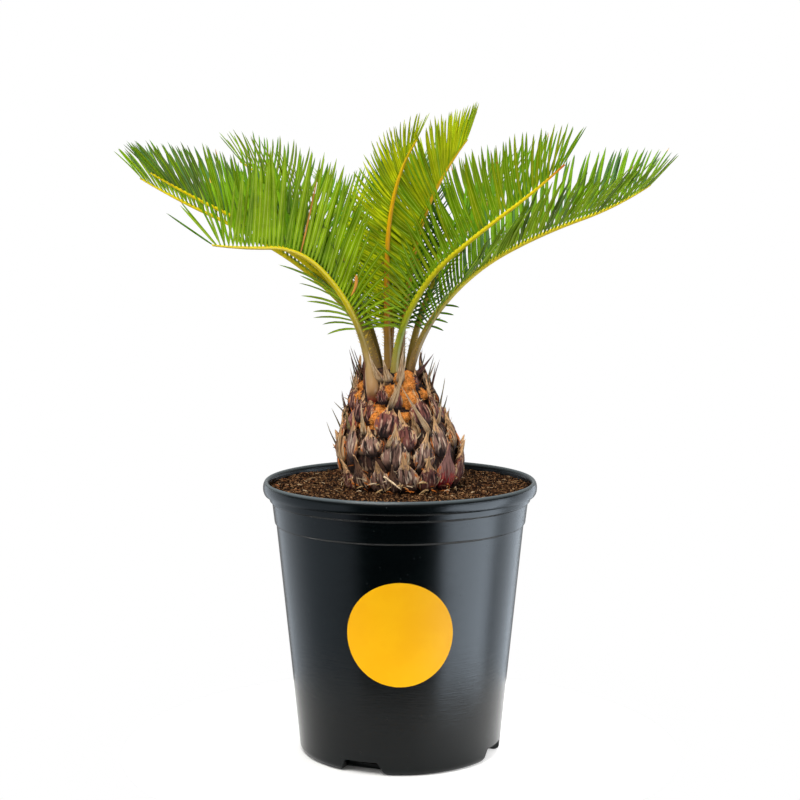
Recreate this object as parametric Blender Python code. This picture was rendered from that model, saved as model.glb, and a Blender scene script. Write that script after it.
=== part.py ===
# Potted sago palm: a nursery pot with its round label and potting mix, the scaly trunk and its fronds.
# Metres, +Z up. The front of the pot faces -Y, and the origin is the middle of its flat underside.

import math
from collections import namedtuple

import bmesh
import bpy
from mathutils import Matrix, Vector
from mathutils.bvhtree import BVHTree

# Clearance between touching pieces, the distance that joins two points, and the angle that stays sharp
GAP = 0.0003
MERGE = 0.00001
SHARP_ANGLE = 30

# Pot
POT_SIDES = 64
RIM_HEIGHT = 0.2545
LIP_RADIUS = 0.127
LIP_HALF_WIDTH = 0.003
LIP_HALF_HEIGHT = 0.0065
LIP_SWEEP = 240
LIP_STEPS = 7
NECK_RADIUS = 0.1209
NECK_TOP = 0.2415
UPPER_LEDGE = 0.2365
UPPER_BAND_RADIUS = 0.1187
LOWER_LEDGE = 0.2158
LOWER_BAND_RADIUS = 0.1164
BODY_TOP_RADIUS = 0.1149
BODY_FOOT = 0.024
BODY_FOOT_RADIUS = 0.0956
LEDGE_DROP = 0.0014
CORNER_RADIUS = 0.0065
CORNER_STEPS = 3
BASE_RADIUS = 0.0875
WALL = 0.0018
FLOOR = 0.0022

# Drain bays in the foot of the pot
BAY_ANGLES = (-112.0, -22.0, 68.0, 158.0)
BAY_HEIGHT = 0.012
BAY_INNER_RADIUS = 0.074
BAY_OUTER_RADIUS = 0.11
BAY_HALF_WIDTH_TOP = 0.0155
BAY_HALF_WIDTH_FOOT = 0.0235
BAY_BELOW = 0.002
SLOT_HALF_WIDTH = 0.008
SLOT_LOW = 0.0042
SLOT_HIGH = 0.0092
SLOT_REACH = 0.005

# Label
LABEL_RADIUS = 0.048
LABEL_HEIGHT = 0.1325
LABEL_LIFT = 0.0004
LABEL_THICKNESS = 0.0004
LABEL_SIDES = 40

# Potting mix
SOIL_TOP = 0.249

# Trunk: heights, radii and the lean of its axis to the left
TRUNK_FOOT = SOIL_TOP + GAP
CROWN_TOP = 0.352
TRUNK_SHAPE = ((0.0, 0.050), (0.12, 0.0535), (0.27, 0.0555), (0.5, 0.0495), (0.75, 0.037), (1.0, 0.0275))
TRUNK_AXIS_FOOT = Vector((0.0025, 0.0, 0.0))
TRUNK_AXIS_TOP = Vector((-0.009, 0.002, 0.0))

# Leaf bases on the trunk: the rim's share of each diamond, its rise and the peak's, then the dry points
SCALE_COLUMNS = 16
SCALE_ROWS = 8
SCALE_RIM = 0.74
SCALE_RISE = 0.0022
SCALE_PEAK = 0.0048
PEAK_LIFT = 0.006
SPIKE_ROW = 4
SPIKE_LENGTHS = (0.011, 0.017, 0.024)
SPIKE_RIM = 0.44
SPIKE_UP = 0.92
SPIKE_OUT = 0.3

# Fronds: sizes along the rib from its foot to its end, and of the leaflets from the lowest pair to the last
RIB_WIDTHS = ((0.0, 0.0076), (0.15, 0.0056), (0.5, 0.0038), (1.0, 0.0016))
RIB_DEPTHS = ((0.0, 0.0062), (0.15, 0.005), (0.5, 0.0034), (1.0, 0.0014))
PETIOLE = 0.042
PETIOLE_STEPS = 3
LEAFLETS = 22
LEAFLET_WIDTH = 0.0076
LEAFLET_THICKNESS = 0.0011
LEAFLET_WAIST = 0.45
LEAFLET_REACH = (
    (0.0, 0.38), (0.1, 0.58), (0.2, 0.76), (0.35, 0.92), (0.5, 1.0), (0.75, 0.88), (0.9, 0.72), (1.0, 0.54))
LEAFLET_LEAN = (
    (0.0, 85.0), (0.08, 72.0), (0.2, 60.0), (0.35, 66.0), (0.5, 72.0), (0.7, 64.0), (0.9, 48.0), (1.0, 24.0))
LEAFLET_UPRIGHT = ((0.0, 0.0), (0.2, -0.5), (0.35, -0.3), (0.5, 0.3), (0.7, 1.0), (0.93, 1.7), (1.0, 0.0))
DROOP_SHARE = 0.5
LEAFLET_ROOT = 0.48
LEAFLET_CLEARANCE = 0.0005
LEAFLET_SCALES = (1.0, 0.8, 0.6, 0.42)
SHORT_WIDTH = 0.75
KEEL_SHARE = 0.5
RIB_POINT = 0.014

# The rib's top and bottom corners on its right (1) and its left (-1)
SIDES = {1: (0, 1), -1: (3, 2)}

# Each frond: its foot on the crown, the way it heads and how that turns, the rib's rise at five even
# stations, its length, how far its blade rolls over and how steeply its two rows of leaflets stand, and
# of its leaflets the reach, the droop of the lowest, the curl towards the end and the degrees more upright.
Frond = namedtuple("Frond", "name foot heading turn rises length rolls keels leaflet droop curl upright")

FRONDS = [Frond("frond_" + name, *shape) for name, *shape in (
    ("near_left", (-0.0275, -0.008), 215, 0, (82, 61, 41, 0, 7), 0.230, (38, 0), (14, 72), 0.092, 0.6, 0.08, 24),
    ("right", (0.0085, 0.002), 4, 0, (77, 50, 28, 19, 33), 0.295, (10, 14), (18, 48), 0.076, 0.3, 0.2, 0),
    ("near_right", (-0.0055, -0.016), 335, 0, (88, 61, 38, 35, 41), 0.262, (-6, 0), (20, 60), 0.071, 0.4, 0.2, 0),
    ("left", (-0.0205, 0.013), 172, 0, (78, 46, 31, 24, 30), 0.298, (0, 0), (18, 60), 0.070, 0.2, 0.2, -6),
    ("left_upper", (-0.0195, 0.003), 188, 0, (82, 50, 35, 26, 31), 0.288, (0, 0), (18, 60), 0.070, 0.2, 0.2, -10),
    ("inner_front", (-0.0105, -0.006), 305, 15, (94, 91, 88, 72, 50), 0.222, (0, 0), (22, 50), 0.050, 0.1, 0.4, -12),
    ("inner_right", (-0.001, 0.0125), 356, 0, (87, 83, 78, 64, 52), 0.228, (0, 0), (40, 64), 0.064, 0.1, 0.2, -14),
    ("back_left", (-0.018, 0.022), 148, 0, (80, 62, 48, 38, 28), 0.262, (0, 0), (18, 56), 0.062, 0.2, 0.5, 6),
    ("back_right", (0.008, 0.014), 50, 0, (80, 60, 44, 32, 30), 0.246, (0, 0), (18, 56), 0.070, 0.2, 0.3, 0),
    ("back", (-0.009, 0.025), 108, 0, (80, 56, 36, 22, 16), 0.250, (0, 0), (18, 54), 0.072, 0.2, 0.2, 0),
    ("far_back", (0.001, 0.022), 84, 0, (82, 64, 46, 34, 28), 0.254, (0, 0), (18, 56), 0.072, 0.2, 0.2, 0),
    ("inner_back", (-0.010, 0.008), 66, 0, (88, 78, 66, 50, 40), 0.206, (0, 0), (22, 48), 0.060, 0.1, 0.3, -12),
)]


def clear_scene():
    for old in list(bpy.data.objects):
        bpy.data.objects.remove(old, do_unlink=True)


def material(name, colour, roughness, metallic=0.0):
    made = bpy.data.materials.new(name)
    made.use_nodes = True
    shader = made.node_tree.nodes["Principled BSDF"]
    shader.inputs["Base Color"].default_value = (*colour, 1.0)
    shader.inputs["Roughness"].default_value = roughness
    shader.inputs["Metallic"].default_value = metallic
    return made


def add_object(name, mesh, finish):
    made = bpy.data.objects.new(name, mesh)
    bpy.context.scene.collection.objects.link(made)
    mesh.materials.append(finish)
    return made


def mesh_from(bm, name, smooth=False):
    bmesh.ops.recalc_face_normals(bm, faces=bm.faces)
    mesh = bpy.data.meshes.new(name)
    bm.to_mesh(mesh)
    bm.free()
    if smooth:
        mesh.shade_smooth()
        mesh.set_sharp_from_angle(angle=math.radians(SHARP_ANGLE))
    return mesh


def along(stations, t):
    """The value at t among (position, value) stations, with straight runs between them."""
    low, low_value = stations[0]
    for high, high_value in stations[1:]:
        if t <= high:
            return low_value + (high_value - low_value) * (t - low) / (high - low)
        low, low_value = high, high_value
    return low_value


def turned(name, profile, smooth=True):
    """A solid of revolution about Z from a profile of (radius, height), ends on the axis."""
    bm = bmesh.new()
    verts = [bm.verts.new((radius, 0, height)) for radius, height in profile]
    edges = [bm.edges.new(pair) for pair in zip(verts, verts[1:])]
    bmesh.ops.spin(bm, geom=verts + edges, cent=(0, 0, 0), axis=(0, 0, 1),
                   angle=2 * math.pi, steps=POT_SIDES, use_merge=True)
    bmesh.ops.remove_doubles(bm, verts=bm.verts, dist=MERGE)
    return mesh_from(bm, name, smooth)


def pot_body_radius(height):
    slope = (BODY_TOP_RADIUS - BODY_FOOT_RADIUS) / (LOWER_LEDGE - LEDGE_DROP - BODY_FOOT)
    return BODY_FOOT_RADIUS + slope * (height - BODY_FOOT)


def pot_wall_profile(inset=0.0):
    """The pot's side from its neck down to the rounded corner of its foot, moved in by inset."""
    corner = Vector((BASE_RADIUS, CORNER_RADIUS))
    side = [
        (NECK_RADIUS, UPPER_LEDGE),
        (UPPER_BAND_RADIUS, UPPER_LEDGE - LEDGE_DROP),
        (LOWER_BAND_RADIUS, LOWER_LEDGE),
        (BODY_TOP_RADIUS, LOWER_LEDGE - LEDGE_DROP),
        (BODY_FOOT_RADIUS, BODY_FOOT),
    ]
    for step in range(CORNER_STEPS + 1):
        turn = math.radians(90 * step / CORNER_STEPS)
        side.append((corner.x + CORNER_RADIUS * math.cos(turn), corner.y - CORNER_RADIUS * math.sin(turn)))
    return [(radius - inset, height) for radius, height in side]


def lip_profile():
    """The rolled rim, from the inner side over its crest to its under side."""
    middle = LIP_RADIUS - LIP_HALF_WIDTH
    points = []
    for step in range(LIP_STEPS + 1):
        turn = math.radians(180 - LIP_SWEEP * step / LIP_STEPS)
        height = RIM_HEIGHT - LIP_HALF_HEIGHT + LIP_HALF_HEIGHT * math.sin(turn)
        points.append((middle + LIP_HALF_WIDTH * math.cos(turn), height))
    return points


def block_between(name, corners):
    """A closed block of eight corners: four on the near face, then the four behind them."""
    bm = bmesh.new()
    verts = [bm.verts.new(corner) for corner in corners]
    for face in ((0, 1, 2, 3), (7, 6, 5, 4), (0, 4, 5, 1), (1, 5, 6, 2), (2, 6, 7, 3), (3, 7, 4, 0)):
        bm.faces.new([verts[i] for i in face])
    return mesh_from(bm, name)


def bay_corners(angle, grow):
    """A drain bay: a block with sloping sides that reaches in under the wall."""
    turn = Matrix.Rotation(math.radians(angle), 3, "Z")
    corners = []
    for radius in (BAY_INNER_RADIUS - grow, BAY_OUTER_RADIUS):
        for half, height in (
            (-BAY_HALF_WIDTH_FOOT - grow, -BAY_BELOW),
            (BAY_HALF_WIDTH_FOOT + grow, -BAY_BELOW),
            (BAY_HALF_WIDTH_TOP + grow, BAY_HEIGHT + grow),
            (-BAY_HALF_WIDTH_TOP - grow, BAY_HEIGHT + grow),
        ):
            corners.append(turn @ Vector((radius, half, height)))
    return corners


def slot_corners(angle):
    turn = Matrix.Rotation(math.radians(angle), 3, "Z")
    corners = []
    for radius in (BAY_INNER_RADIUS - SLOT_REACH, BAY_INNER_RADIUS + SLOT_REACH):
        for half, height in (
            (-SLOT_HALF_WIDTH, SLOT_LOW),
            (SLOT_HALF_WIDTH, SLOT_LOW),
            (SLOT_HALF_WIDTH, SLOT_HIGH),
            (-SLOT_HALF_WIDTH, SLOT_HIGH),
        ):
            corners.append(turn @ Vector((radius, half, height)))
    return corners


def cut_away(solid, cutter):
    cutter.hide_render = True
    cutter.display_type = "WIRE"
    boolean = solid.modifiers.new("cut " + cutter.name, "BOOLEAN")
    boolean.operation = "DIFFERENCE"
    boolean.solver = "EXACT"
    boolean.object = cutter


def build_pot(finish):
    outer = [(0, RIM_HEIGHT - LIP_HALF_HEIGHT)] + lip_profile()
    outer += [(NECK_RADIUS, NECK_TOP)] + pot_wall_profile() + [(0, 0)]
    pot = add_object("pot", turned("pot", outer), finish)

    mouth = LIP_RADIUS - 2 * LIP_HALF_WIDTH
    inside = [(0, RIM_HEIGHT + WALL), (mouth, RIM_HEIGHT + WALL), (mouth, RIM_HEIGHT - LIP_HALF_HEIGHT)]
    inside += [(NECK_RADIUS - WALL, NECK_TOP + WALL)]
    inside += [point for point in pot_wall_profile(WALL) if point[1] > FLOOR]
    inside += [(BASE_RADIUS - WALL, FLOOR), (0, FLOOR)]
    cavity = add_object("pot_inside", turned("pot_inside", inside), finish)

    for number, angle in enumerate(BAY_ANGLES, start=1):
        bay = add_object(f"bay_{number}", block_between("bay", bay_corners(angle, 0.0)), finish)
        cut_away(pot, bay)
        lining = add_object(f"bay_lining_{number}", block_between("bay", bay_corners(angle, WALL)), finish)
        cut_away(cavity, lining)
    cut_away(pot, cavity)
    for number, angle in enumerate(BAY_ANGLES, start=1):
        slot = add_object(f"drain_slot_{number}", block_between("slot", slot_corners(angle)), finish)
        cut_away(pot, slot)
    return inside


def build_soil(finish, inside):
    """Fills the pot to its level, a hair clear of the wall, the floor and the bays."""
    level = [(0, SOIL_TOP), (inside[1][0] - GAP, SOIL_TOP)]
    below = [(radius - GAP, height + GAP) for radius, height in inside[2:-1]]
    profile = level + [point for point in below if point[1] < SOIL_TOP] + [(0, FLOOR + GAP)]
    soil = add_object("potting_mix", turned("potting_mix", profile), finish)
    for number, angle in enumerate(BAY_ANGLES, start=1):
        room = add_object(f"bay_room_{number}", block_between("bay", bay_corners(angle, WALL + GAP)), finish)
        cut_away(soil, room)


def build_label(finish):
    """A round label bent round the front of the pot, in upright strips."""
    bm = bmesh.new()
    layers = []
    for lift in (LABEL_LIFT, LABEL_LIFT + LABEL_THICKNESS):
        ring = []
        for side in range(LABEL_SIDES):
            turn = 2 * math.pi * side / LABEL_SIDES
            across = LABEL_RADIUS * math.cos(turn)
            height = LABEL_HEIGHT + LABEL_RADIUS * math.sin(turn)
            angle = across / pot_body_radius(LABEL_HEIGHT) - math.pi / 2
            radius = pot_body_radius(height) + lift
            ring.append(bm.verts.new((radius * math.cos(angle), radius * math.sin(angle), height)))
        layers.append(ring)
    for ring in layers:
        for side in range(LABEL_SIDES // 2):
            face = [ring[side], ring[side + 1], ring[-side - 1], ring[-side]]
            if side == 0:
                face = face[:3]
            if side == LABEL_SIDES // 2 - 1:
                face = [ring[side], ring[side + 1], ring[-side]]
            bm.faces.new(face)
    inner, outer = layers
    for side in range(LABEL_SIDES):
        bm.faces.new((inner[side - 1], inner[side], outer[side], outer[side - 1]))
    add_object("label", mesh_from(bm, "label"), finish)


def trunk_axis(t):
    return TRUNK_AXIS_FOOT.lerp(TRUNK_AXIS_TOP, t)


def trunk_point(row, column):
    """A point of the trunk's lattice of scales. Odd rows are half a column round."""
    t = row / SCALE_ROWS
    angle = 2 * math.pi * (column + 0.5 * (row % 2)) / SCALE_COLUMNS
    radius = along(TRUNK_SHAPE, t)
    place = Vector((radius * math.cos(angle), radius * math.sin(angle), 0)) + trunk_axis(t)
    place.z = TRUNK_FOOT + (CROWN_TOP - TRUNK_FOOT) * t
    return place


def spike_length(row, column):
    """The upper scales end in dry points, in a short repeat of lengths."""
    if row < SPIKE_ROW:
        return 0.0
    return SPIKE_LENGTHS[(5 * row + 3 * column) % len(SPIKE_LENGTHS)]


def build_trunk(finish):
    """Diamond leaf bases in staggered rows, each with a raised rim and a peak that points up and out."""
    bm = bmesh.new()
    lattice = [
        [bm.verts.new(trunk_point(row, column)) for column in range(SCALE_COLUMNS)]
        for row in range(SCALE_ROWS + 1)
    ]
    for row in range(1, SCALE_ROWS):
        for column in range(SCALE_COLUMNS):
            beside = (column + row % 2) % SCALE_COLUMNS
            left = lattice[row][column]
            right = lattice[row][(column + 1) % SCALE_COLUMNS]
            corners = (lattice[row - 1][beside], right, lattice[row + 1][beside], left)
            middle = (left.co + right.co) / 2
            out = middle - trunk_axis(row / SCALE_ROWS)
            out.z = 0
            out.normalize()
            spike = spike_length(row, column)
            share = SPIKE_RIM if spike else SCALE_RIM
            raised = middle + out * SCALE_RISE
            rim = [bm.verts.new(raised + (corner.co - middle) * share) for corner in corners]
            lift = Vector((0, 0, PEAK_LIFT + SPIKE_UP * spike))
            peak = bm.verts.new(middle + out * (SCALE_PEAK + SPIKE_OUT * spike) + lift)
            for near in range(4):
                far = (near + 1) % 4
                bm.faces.new((corners[near], corners[far], rim[far], rim[near]))
                bm.faces.new((rim[near], rim[far], peak))
    for column in range(SCALE_COLUMNS):
        bm.faces.new((lattice[0][column], lattice[0][(column + 1) % SCALE_COLUMNS], lattice[1][column]))
        below = lattice[-2][(column - 1 + SCALE_ROWS % 2) % SCALE_COLUMNS]
        bm.faces.new((lattice[-1][column], below, lattice[-1][column - 1]))
    bm.faces.new(lattice[0])
    bm.faces.new(lattice[-1])
    return add_object("trunk", mesh_from(bm, "trunk"), finish)


class Rib:
    """A frond's midrib: a chain of arcs in its heading's plane, with a frame at each distance along it."""

    STEPS = 160

    def __init__(self, frond):
        self.frond = frond
        step = frond.length / self.STEPS
        point = Vector((*frond.foot, CROWN_TOP + GAP))
        self.points = []
        for number in range(self.STEPS + 1):
            self.points.append(point.copy())
            point = point + self.way_on(number / self.STEPS) * step
        petiole = PETIOLE / frond.length
        pitch = (1 - petiole) / LEAFLETS
        self.stations = [petiole * step / PETIOLE_STEPS for step in range(PETIOLE_STEPS)]
        for number in range(LEAFLETS):
            self.stations.append(petiole + pitch * number)
            self.stations.append(petiole + pitch * (number + LEAFLET_ROOT))
        self.stations.append(1.0)

    def turn(self, t):
        return math.radians(self.frond.heading + self.frond.turn * t)

    def way_on(self, t):
        rises = [(number / 4, rise) for number, rise in enumerate(self.frond.rises)]
        rise = math.radians(along(rises, t))
        level = math.cos(rise)
        return Vector((level * math.cos(self.turn(t)), level * math.sin(self.turn(t)), math.sin(rise)))

    def frame(self, t):
        """The point, the way on, the frond's right-hand side and its upper side."""
        place = t * self.STEPS
        before = min(int(place), self.STEPS - 1)
        point = self.points[before].lerp(self.points[before + 1], place - before)
        on = self.way_on(t)
        start, end = self.frond.rolls
        roll = Matrix.Rotation(math.radians(start + (end - start) * t), 3, on)
        side = roll @ Vector((math.sin(self.turn(t)), -math.cos(self.turn(t)), 0))
        return point, on, side, side.cross(on)

    def ring(self, t):
        """The rib's corners: right top, right bottom, left bottom, left top. Its foot is cut level."""
        point, on, side, up = self.frame(t)
        half_width = along(RIB_WIDTHS, t) / 2
        half_depth = along(RIB_DEPTHS, t) / 2
        corners = [
            point + side * (half_width * across) + up * (half_depth * above)
            for across, above in ((1, 1), (1, -1), (-1, -1), (-1, 1))
        ]
        if t == 0.0:
            level = CROWN_TOP + GAP
            corners = [corner + on * ((level - corner.z) / on.z) for corner in corners]
        return corners


def corners_about(middle, across, thick, half_width, half_depth):
    """Four corners round a point: near top, near bottom, far bottom, far top."""
    return [
        middle + across * (half_width * ahead) + thick * (half_depth * above)
        for ahead, above in ((-1, 1), (-1, -1), (1, -1), (1, 1))
    ]


def leaflet_rings(rib, leafy, start, end, hand, scale):
    """The leaflet that springs from the rib between start and end: its waist and tip, and a fatter guard.

    The guard runs from the root to past the tip, and is what has to stay clear of its neighbours.
    """
    frond = rib.frond
    on, side, up = rib.frame((start + end) / 2)[1:]
    flat, steep = frond.keels
    keel = math.radians(flat + (steep - flat) * min(1.0, leafy / KEEL_SHARE))
    lean = math.radians(along(LEAFLET_LEAN, leafy) + frond.upright * along(LEAFLET_UPRIGHT, leafy))
    out = side * (hand * math.cos(keel)) + up * math.sin(keel)
    way = on * math.cos(lean) + out * math.sin(lean)
    across = (on - way * on.dot(way)).normalized()
    thick = (up - way * up.dot(way) - across * up.dot(across)).normalized()
    reach = frond.leaflet * along(LEAFLET_REACH, leafy) * scale

    top, foot = SIDES[hand]
    before, after = rib.ring(start), rib.ring(end)
    root = (before[top], before[foot], after[foot], after[top])
    middle = sum(root, Vector()) / 4 + way * (reach * LEAFLET_WAIST)
    droop = Vector((0, 0, -frond.droop * max(0.0, 1 - leafy / DROOP_SHARE)))
    onward = (way + on * frond.curl + droop).normalized()
    tip = middle + onward * (reach * (1 - LEAFLET_WAIST))
    half_width = LEAFLET_WIDTH / 2 * (SHORT_WIDTH + (1 - SHORT_WIDTH) * scale)
    waist = corners_about(middle, across, thick, half_width, LEAFLET_THICKNESS / 2)

    room = corners_about(Vector(), across, thick, LEAFLET_CLEARANCE, LEAFLET_CLEARANCE)
    guard = [corner + more for ring in (root, waist, [tip] * 4) for corner, more in zip(ring, room)]
    return waist, tip, guard


def tube_faces(rings):
    """The side faces of a run of four-cornered rings, numbered ring by ring."""
    faces = []
    for first in range(0, 4 * (rings - 1), 4):
        for corner in range(4):
            after = (corner + 1) % 4
            faces.append((first + corner, first + after, first + 4 + after, first + 4 + corner))
    return faces


def obstacle(points, faces, rib=None):
    """A shape for leaflets to keep clear of: its box, its surface and the rib that it is part of, if any."""
    low = [min(point[axis] for point in points) for axis in range(3)]
    high = [max(point[axis] for point in points) for axis in range(3)]
    return low, high, BVHTree.FromPolygons(points, faces), rib


def in_the_way(shape, other):
    low, high, tree, rib = shape
    other_low, other_high, other_tree, other_rib = other
    if rib is other_rib:
        return False
    if any(low[axis] > other_high[axis] or other_low[axis] > high[axis] for axis in range(3)):
        return False
    return bool(tree.overlap(other_tree))


def fitted_leaflet(rib, leafy, start, end, hand, obstacles):
    """The longest leaflet here that stays clear of everything but its own rib, if any does."""
    for scale in LEAFLET_SCALES:
        waist, tip, guard = leaflet_rings(rib, leafy, start, end, hand, scale)
        shape = obstacle(guard, tube_faces(3) + [(0, 1, 2, 3), (11, 10, 9, 8)], rib)
        if not any(in_the_way(shape, other) for other in obstacles):
            obstacles.append((*shape[:3], None))
            return waist, tip
    return None


def build_frond(rib, finish, obstacles):
    """A closed blade: the rib, a point at its end, and a leaflet from each place that has room for one."""
    bm = bmesh.new()
    rings = [[bm.verts.new(corner) for corner in rib.ring(t)] for t in rib.stations]
    point, on = rib.frame(1.0)[:2]
    end = bm.verts.new(point + on * RIB_POINT)
    bm.faces.new(rings[0])
    for corner in range(4):
        bm.faces.new((rings[-1][corner], rings[-1][(corner + 1) % 4], end))
    for segment, (here, after) in enumerate(zip(rings, rings[1:])):
        bm.faces.new((here[3], here[0], after[0], after[3]))
        bm.faces.new((here[1], here[2], after[2], after[1]))
        place, between = divmod(segment - PETIOLE_STEPS, 2)
        for hand, (top, foot) in SIDES.items():
            root = (here[top], here[foot], after[foot], after[top])
            leaflet = None
            if place >= 0 and not between:
                span = rib.stations[segment:segment + 2]
                leaflet = fitted_leaflet(rib, place / (LEAFLETS - 1), *span, hand, obstacles)
            if leaflet is None:
                bm.faces.new(root)
                continue
            waist = [bm.verts.new(corner) for corner in leaflet[0]]
            tip = bm.verts.new(leaflet[1])
            for corner in range(4):
                following = (corner + 1) % 4
                bm.faces.new((root[corner], root[following], waist[following], waist[corner]))
                bm.faces.new((waist[corner], waist[following], tip))
    add_object(rib.frond.name, mesh_from(bm, rib.frond.name), finish)


def build_crown(finish, trunk):
    """All the ribs are placed first, and then each frond in turn gets the leaflets that have room."""
    ribs = [Rib(frond) for frond in FRONDS]
    surface = [vertex.co.copy() for vertex in trunk.data.vertices]
    obstacles = [obstacle(surface, [tuple(face.vertices) for face in trunk.data.polygons])]
    for rib in ribs:
        rings = [rib.ring(t) for t in rib.stations]
        for first, second in zip(rings, rings[1:]):
            obstacles.append(obstacle(first + second, tube_faces(2), rib))
    for rib in ribs:
        build_frond(rib, finish, obstacles)


def main():
    clear_scene()
    plastic = material("black_pot_plastic", (0.012, 0.017, 0.017), 0.4)
    paper = material("yellow_label", (0.93, 0.46, 0.01), 0.5)
    mix = material("potting_mix", (0.035, 0.022, 0.015), 0.95)
    bark = material("trunk_scales", (0.09, 0.045, 0.035), 0.8)
    green = material("frond_green", (0.12, 0.25, 0.015), 0.45)
    inside = build_pot(plastic)
    build_label(paper)
    build_soil(mix, inside)
    build_crown(green, build_trunk(bark))


main()
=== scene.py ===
# Looks of a young sago palm in its nursery pot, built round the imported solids.
# Metres, +Z up, the label faces -Y.
import math
import random
from collections import namedtuple

import bmesh
import bpy
from mathutils import Matrix, Vector, kdtree, noise


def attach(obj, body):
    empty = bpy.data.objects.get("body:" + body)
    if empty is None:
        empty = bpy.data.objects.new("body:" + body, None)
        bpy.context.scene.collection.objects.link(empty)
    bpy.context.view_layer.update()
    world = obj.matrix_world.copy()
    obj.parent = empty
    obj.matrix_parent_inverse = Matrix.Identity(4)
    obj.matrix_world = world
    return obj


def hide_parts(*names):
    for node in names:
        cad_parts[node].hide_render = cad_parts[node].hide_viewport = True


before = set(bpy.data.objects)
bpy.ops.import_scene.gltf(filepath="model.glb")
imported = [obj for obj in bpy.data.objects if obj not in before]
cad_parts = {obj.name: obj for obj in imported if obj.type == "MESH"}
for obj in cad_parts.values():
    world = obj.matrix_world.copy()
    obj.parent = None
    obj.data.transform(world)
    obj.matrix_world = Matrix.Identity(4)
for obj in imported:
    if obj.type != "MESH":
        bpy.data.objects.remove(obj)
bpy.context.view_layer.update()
print("frame loaded:", len(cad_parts), "nodes")


# Small helpers

def along(stations, t):  # the value at t among (place, value) stations
    low, lowValue = stations[0]
    for high, highValue in stations[1:]:
        if t <= high:
            return lowValue + (highValue - lowValue) * (t - low) / (high - low)
        low, lowValue = high, highValue
    return lowValue


def squared(side, way):  # the part of a direction that is square to the way, one unit long
    return (side - way * side.dot(way)).normalized()


def pick(rng, weights):  # a number from 0 on, by its weight
    return rng.choices(range(len(weights)), weights)[0]


def timesColour(colour, factor):
    return tuple(channel * factor for channel in colour)


def addObject(name, mesh):
    made = bpy.data.objects.new(name, mesh)
    bpy.context.scene.collection.objects.link(made)
    return made


def meshFrom(bm, name, sharp=None):
    bmesh.ops.recalc_face_normals(bm, faces=bm.faces)
    mesh = bpy.data.meshes.new(name)
    bm.to_mesh(mesh)
    bm.free()
    if sharp is not None:
        smooth(mesh, sharp)
    return mesh


def smooth(mesh, sharp):
    mesh.shade_smooth()
    mesh.set_sharp_from_angle(angle=math.radians(sharp))


def settle(piece):  # turns what the modifiers make into the piece's own mesh
    graph = bpy.context.evaluated_depsgraph_get()
    mesh = bpy.data.meshes.new_from_object(piece.evaluated_get(graph), depsgraph=graph)
    piece.modifiers.clear()
    piece.data = mesh
    return piece


def handOver(piece, slot, *nodes):  # the last step of every piece
    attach(piece, "root")
    if nodes:
        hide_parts(*nodes)
    return piece


def discard(*things):
    for thing in things:
        bpy.data.objects.remove(thing, do_unlink=True)


# Node helpers

def socketOf(sockets, key=0):  # by name or by number, among the sockets in use
    live = [socket for socket in sockets if socket.enabled]
    if isinstance(key, int):
        return live[key]
    return next(socket for socket in live if socket.name == key)


def addNode(tree, kind, inputs=(), **settings):
    node = tree.nodes.new(kind)
    for name, value in settings.items():
        setattr(node, name, value)
    for key, value in dict(inputs).items():
        socket = socketOf(node.inputs, key)
        if isinstance(value, bpy.types.Node):
            value = socketOf(value.outputs)
        if isinstance(value, bpy.types.NodeSocket):
            tree.links.new(value, socket)
        else:
            socket.default_value = value
    return node


def maths(tree, operation, first, second=0.0, third=0.0):
    inputs = {0: first, 1: second}
    if operation in ("MULTIPLY_ADD", "COMPARE"):
        inputs[2] = third
    if operation == "ABSOLUTE":
        del inputs[1]
    return addNode(tree, "ShaderNodeMath", inputs, operation=operation)


def vectorMaths(tree, operation, first, second):
    return addNode(tree, "ShaderNodeVectorMath", {0: first, 1: second}, operation=operation)


def scaled(tree, vector, factor):
    return addNode(tree, "ShaderNodeVectorMath", {"Vector": vector, "Scale": factor}, operation="SCALE")


def split(tree, vector):
    return addNode(tree, "ShaderNodeSeparateXYZ", {0: vector})


def mapped(tree, value, low, high, first=0.0, last=1.0, **settings):
    return addNode(tree, "ShaderNodeMapRange", {
        "Value": value, "From Min": low, "From Max": high, "To Min": first, "To Max": last}, **settings)


def named(tree, name, kind="FLOAT_VECTOR"):  # an attribute of the points or the faces
    return addNode(tree, "GeometryNodeInputNamedAttribute", {"Name": name}, data_type=kind)


def newTree(name, kind, inputs, outputs):
    tree = bpy.data.node_groups.new(name, kind)
    for label, socketType, value in inputs:
        socket = tree.interface.new_socket(label, in_out="INPUT", socket_type="NodeSocket" + socketType)
        if value is not None:
            socket.default_value = value
    for label, socketType in outputs:
        tree.interface.new_socket(label, in_out="OUTPUT", socket_type="NodeSocket" + socketType)
    given = tree.nodes.new("NodeGroupInput").outputs
    result = tree.nodes.new("NodeGroupOutput").inputs
    return tree, given, result


def useTree(piece, tree, values):  # the inputs are set by identifier before the first evaluation
    modifier = piece.modifiers.new(tree.name, "NODES")
    modifier.node_group = tree
    for item in tree.interface.items_tree:
        if item.in_out == "INPUT" and item.name in values:
            modifier[item.identifier] = values[item.name]
    return settle(piece)


# Shader groups that several materials use

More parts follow.
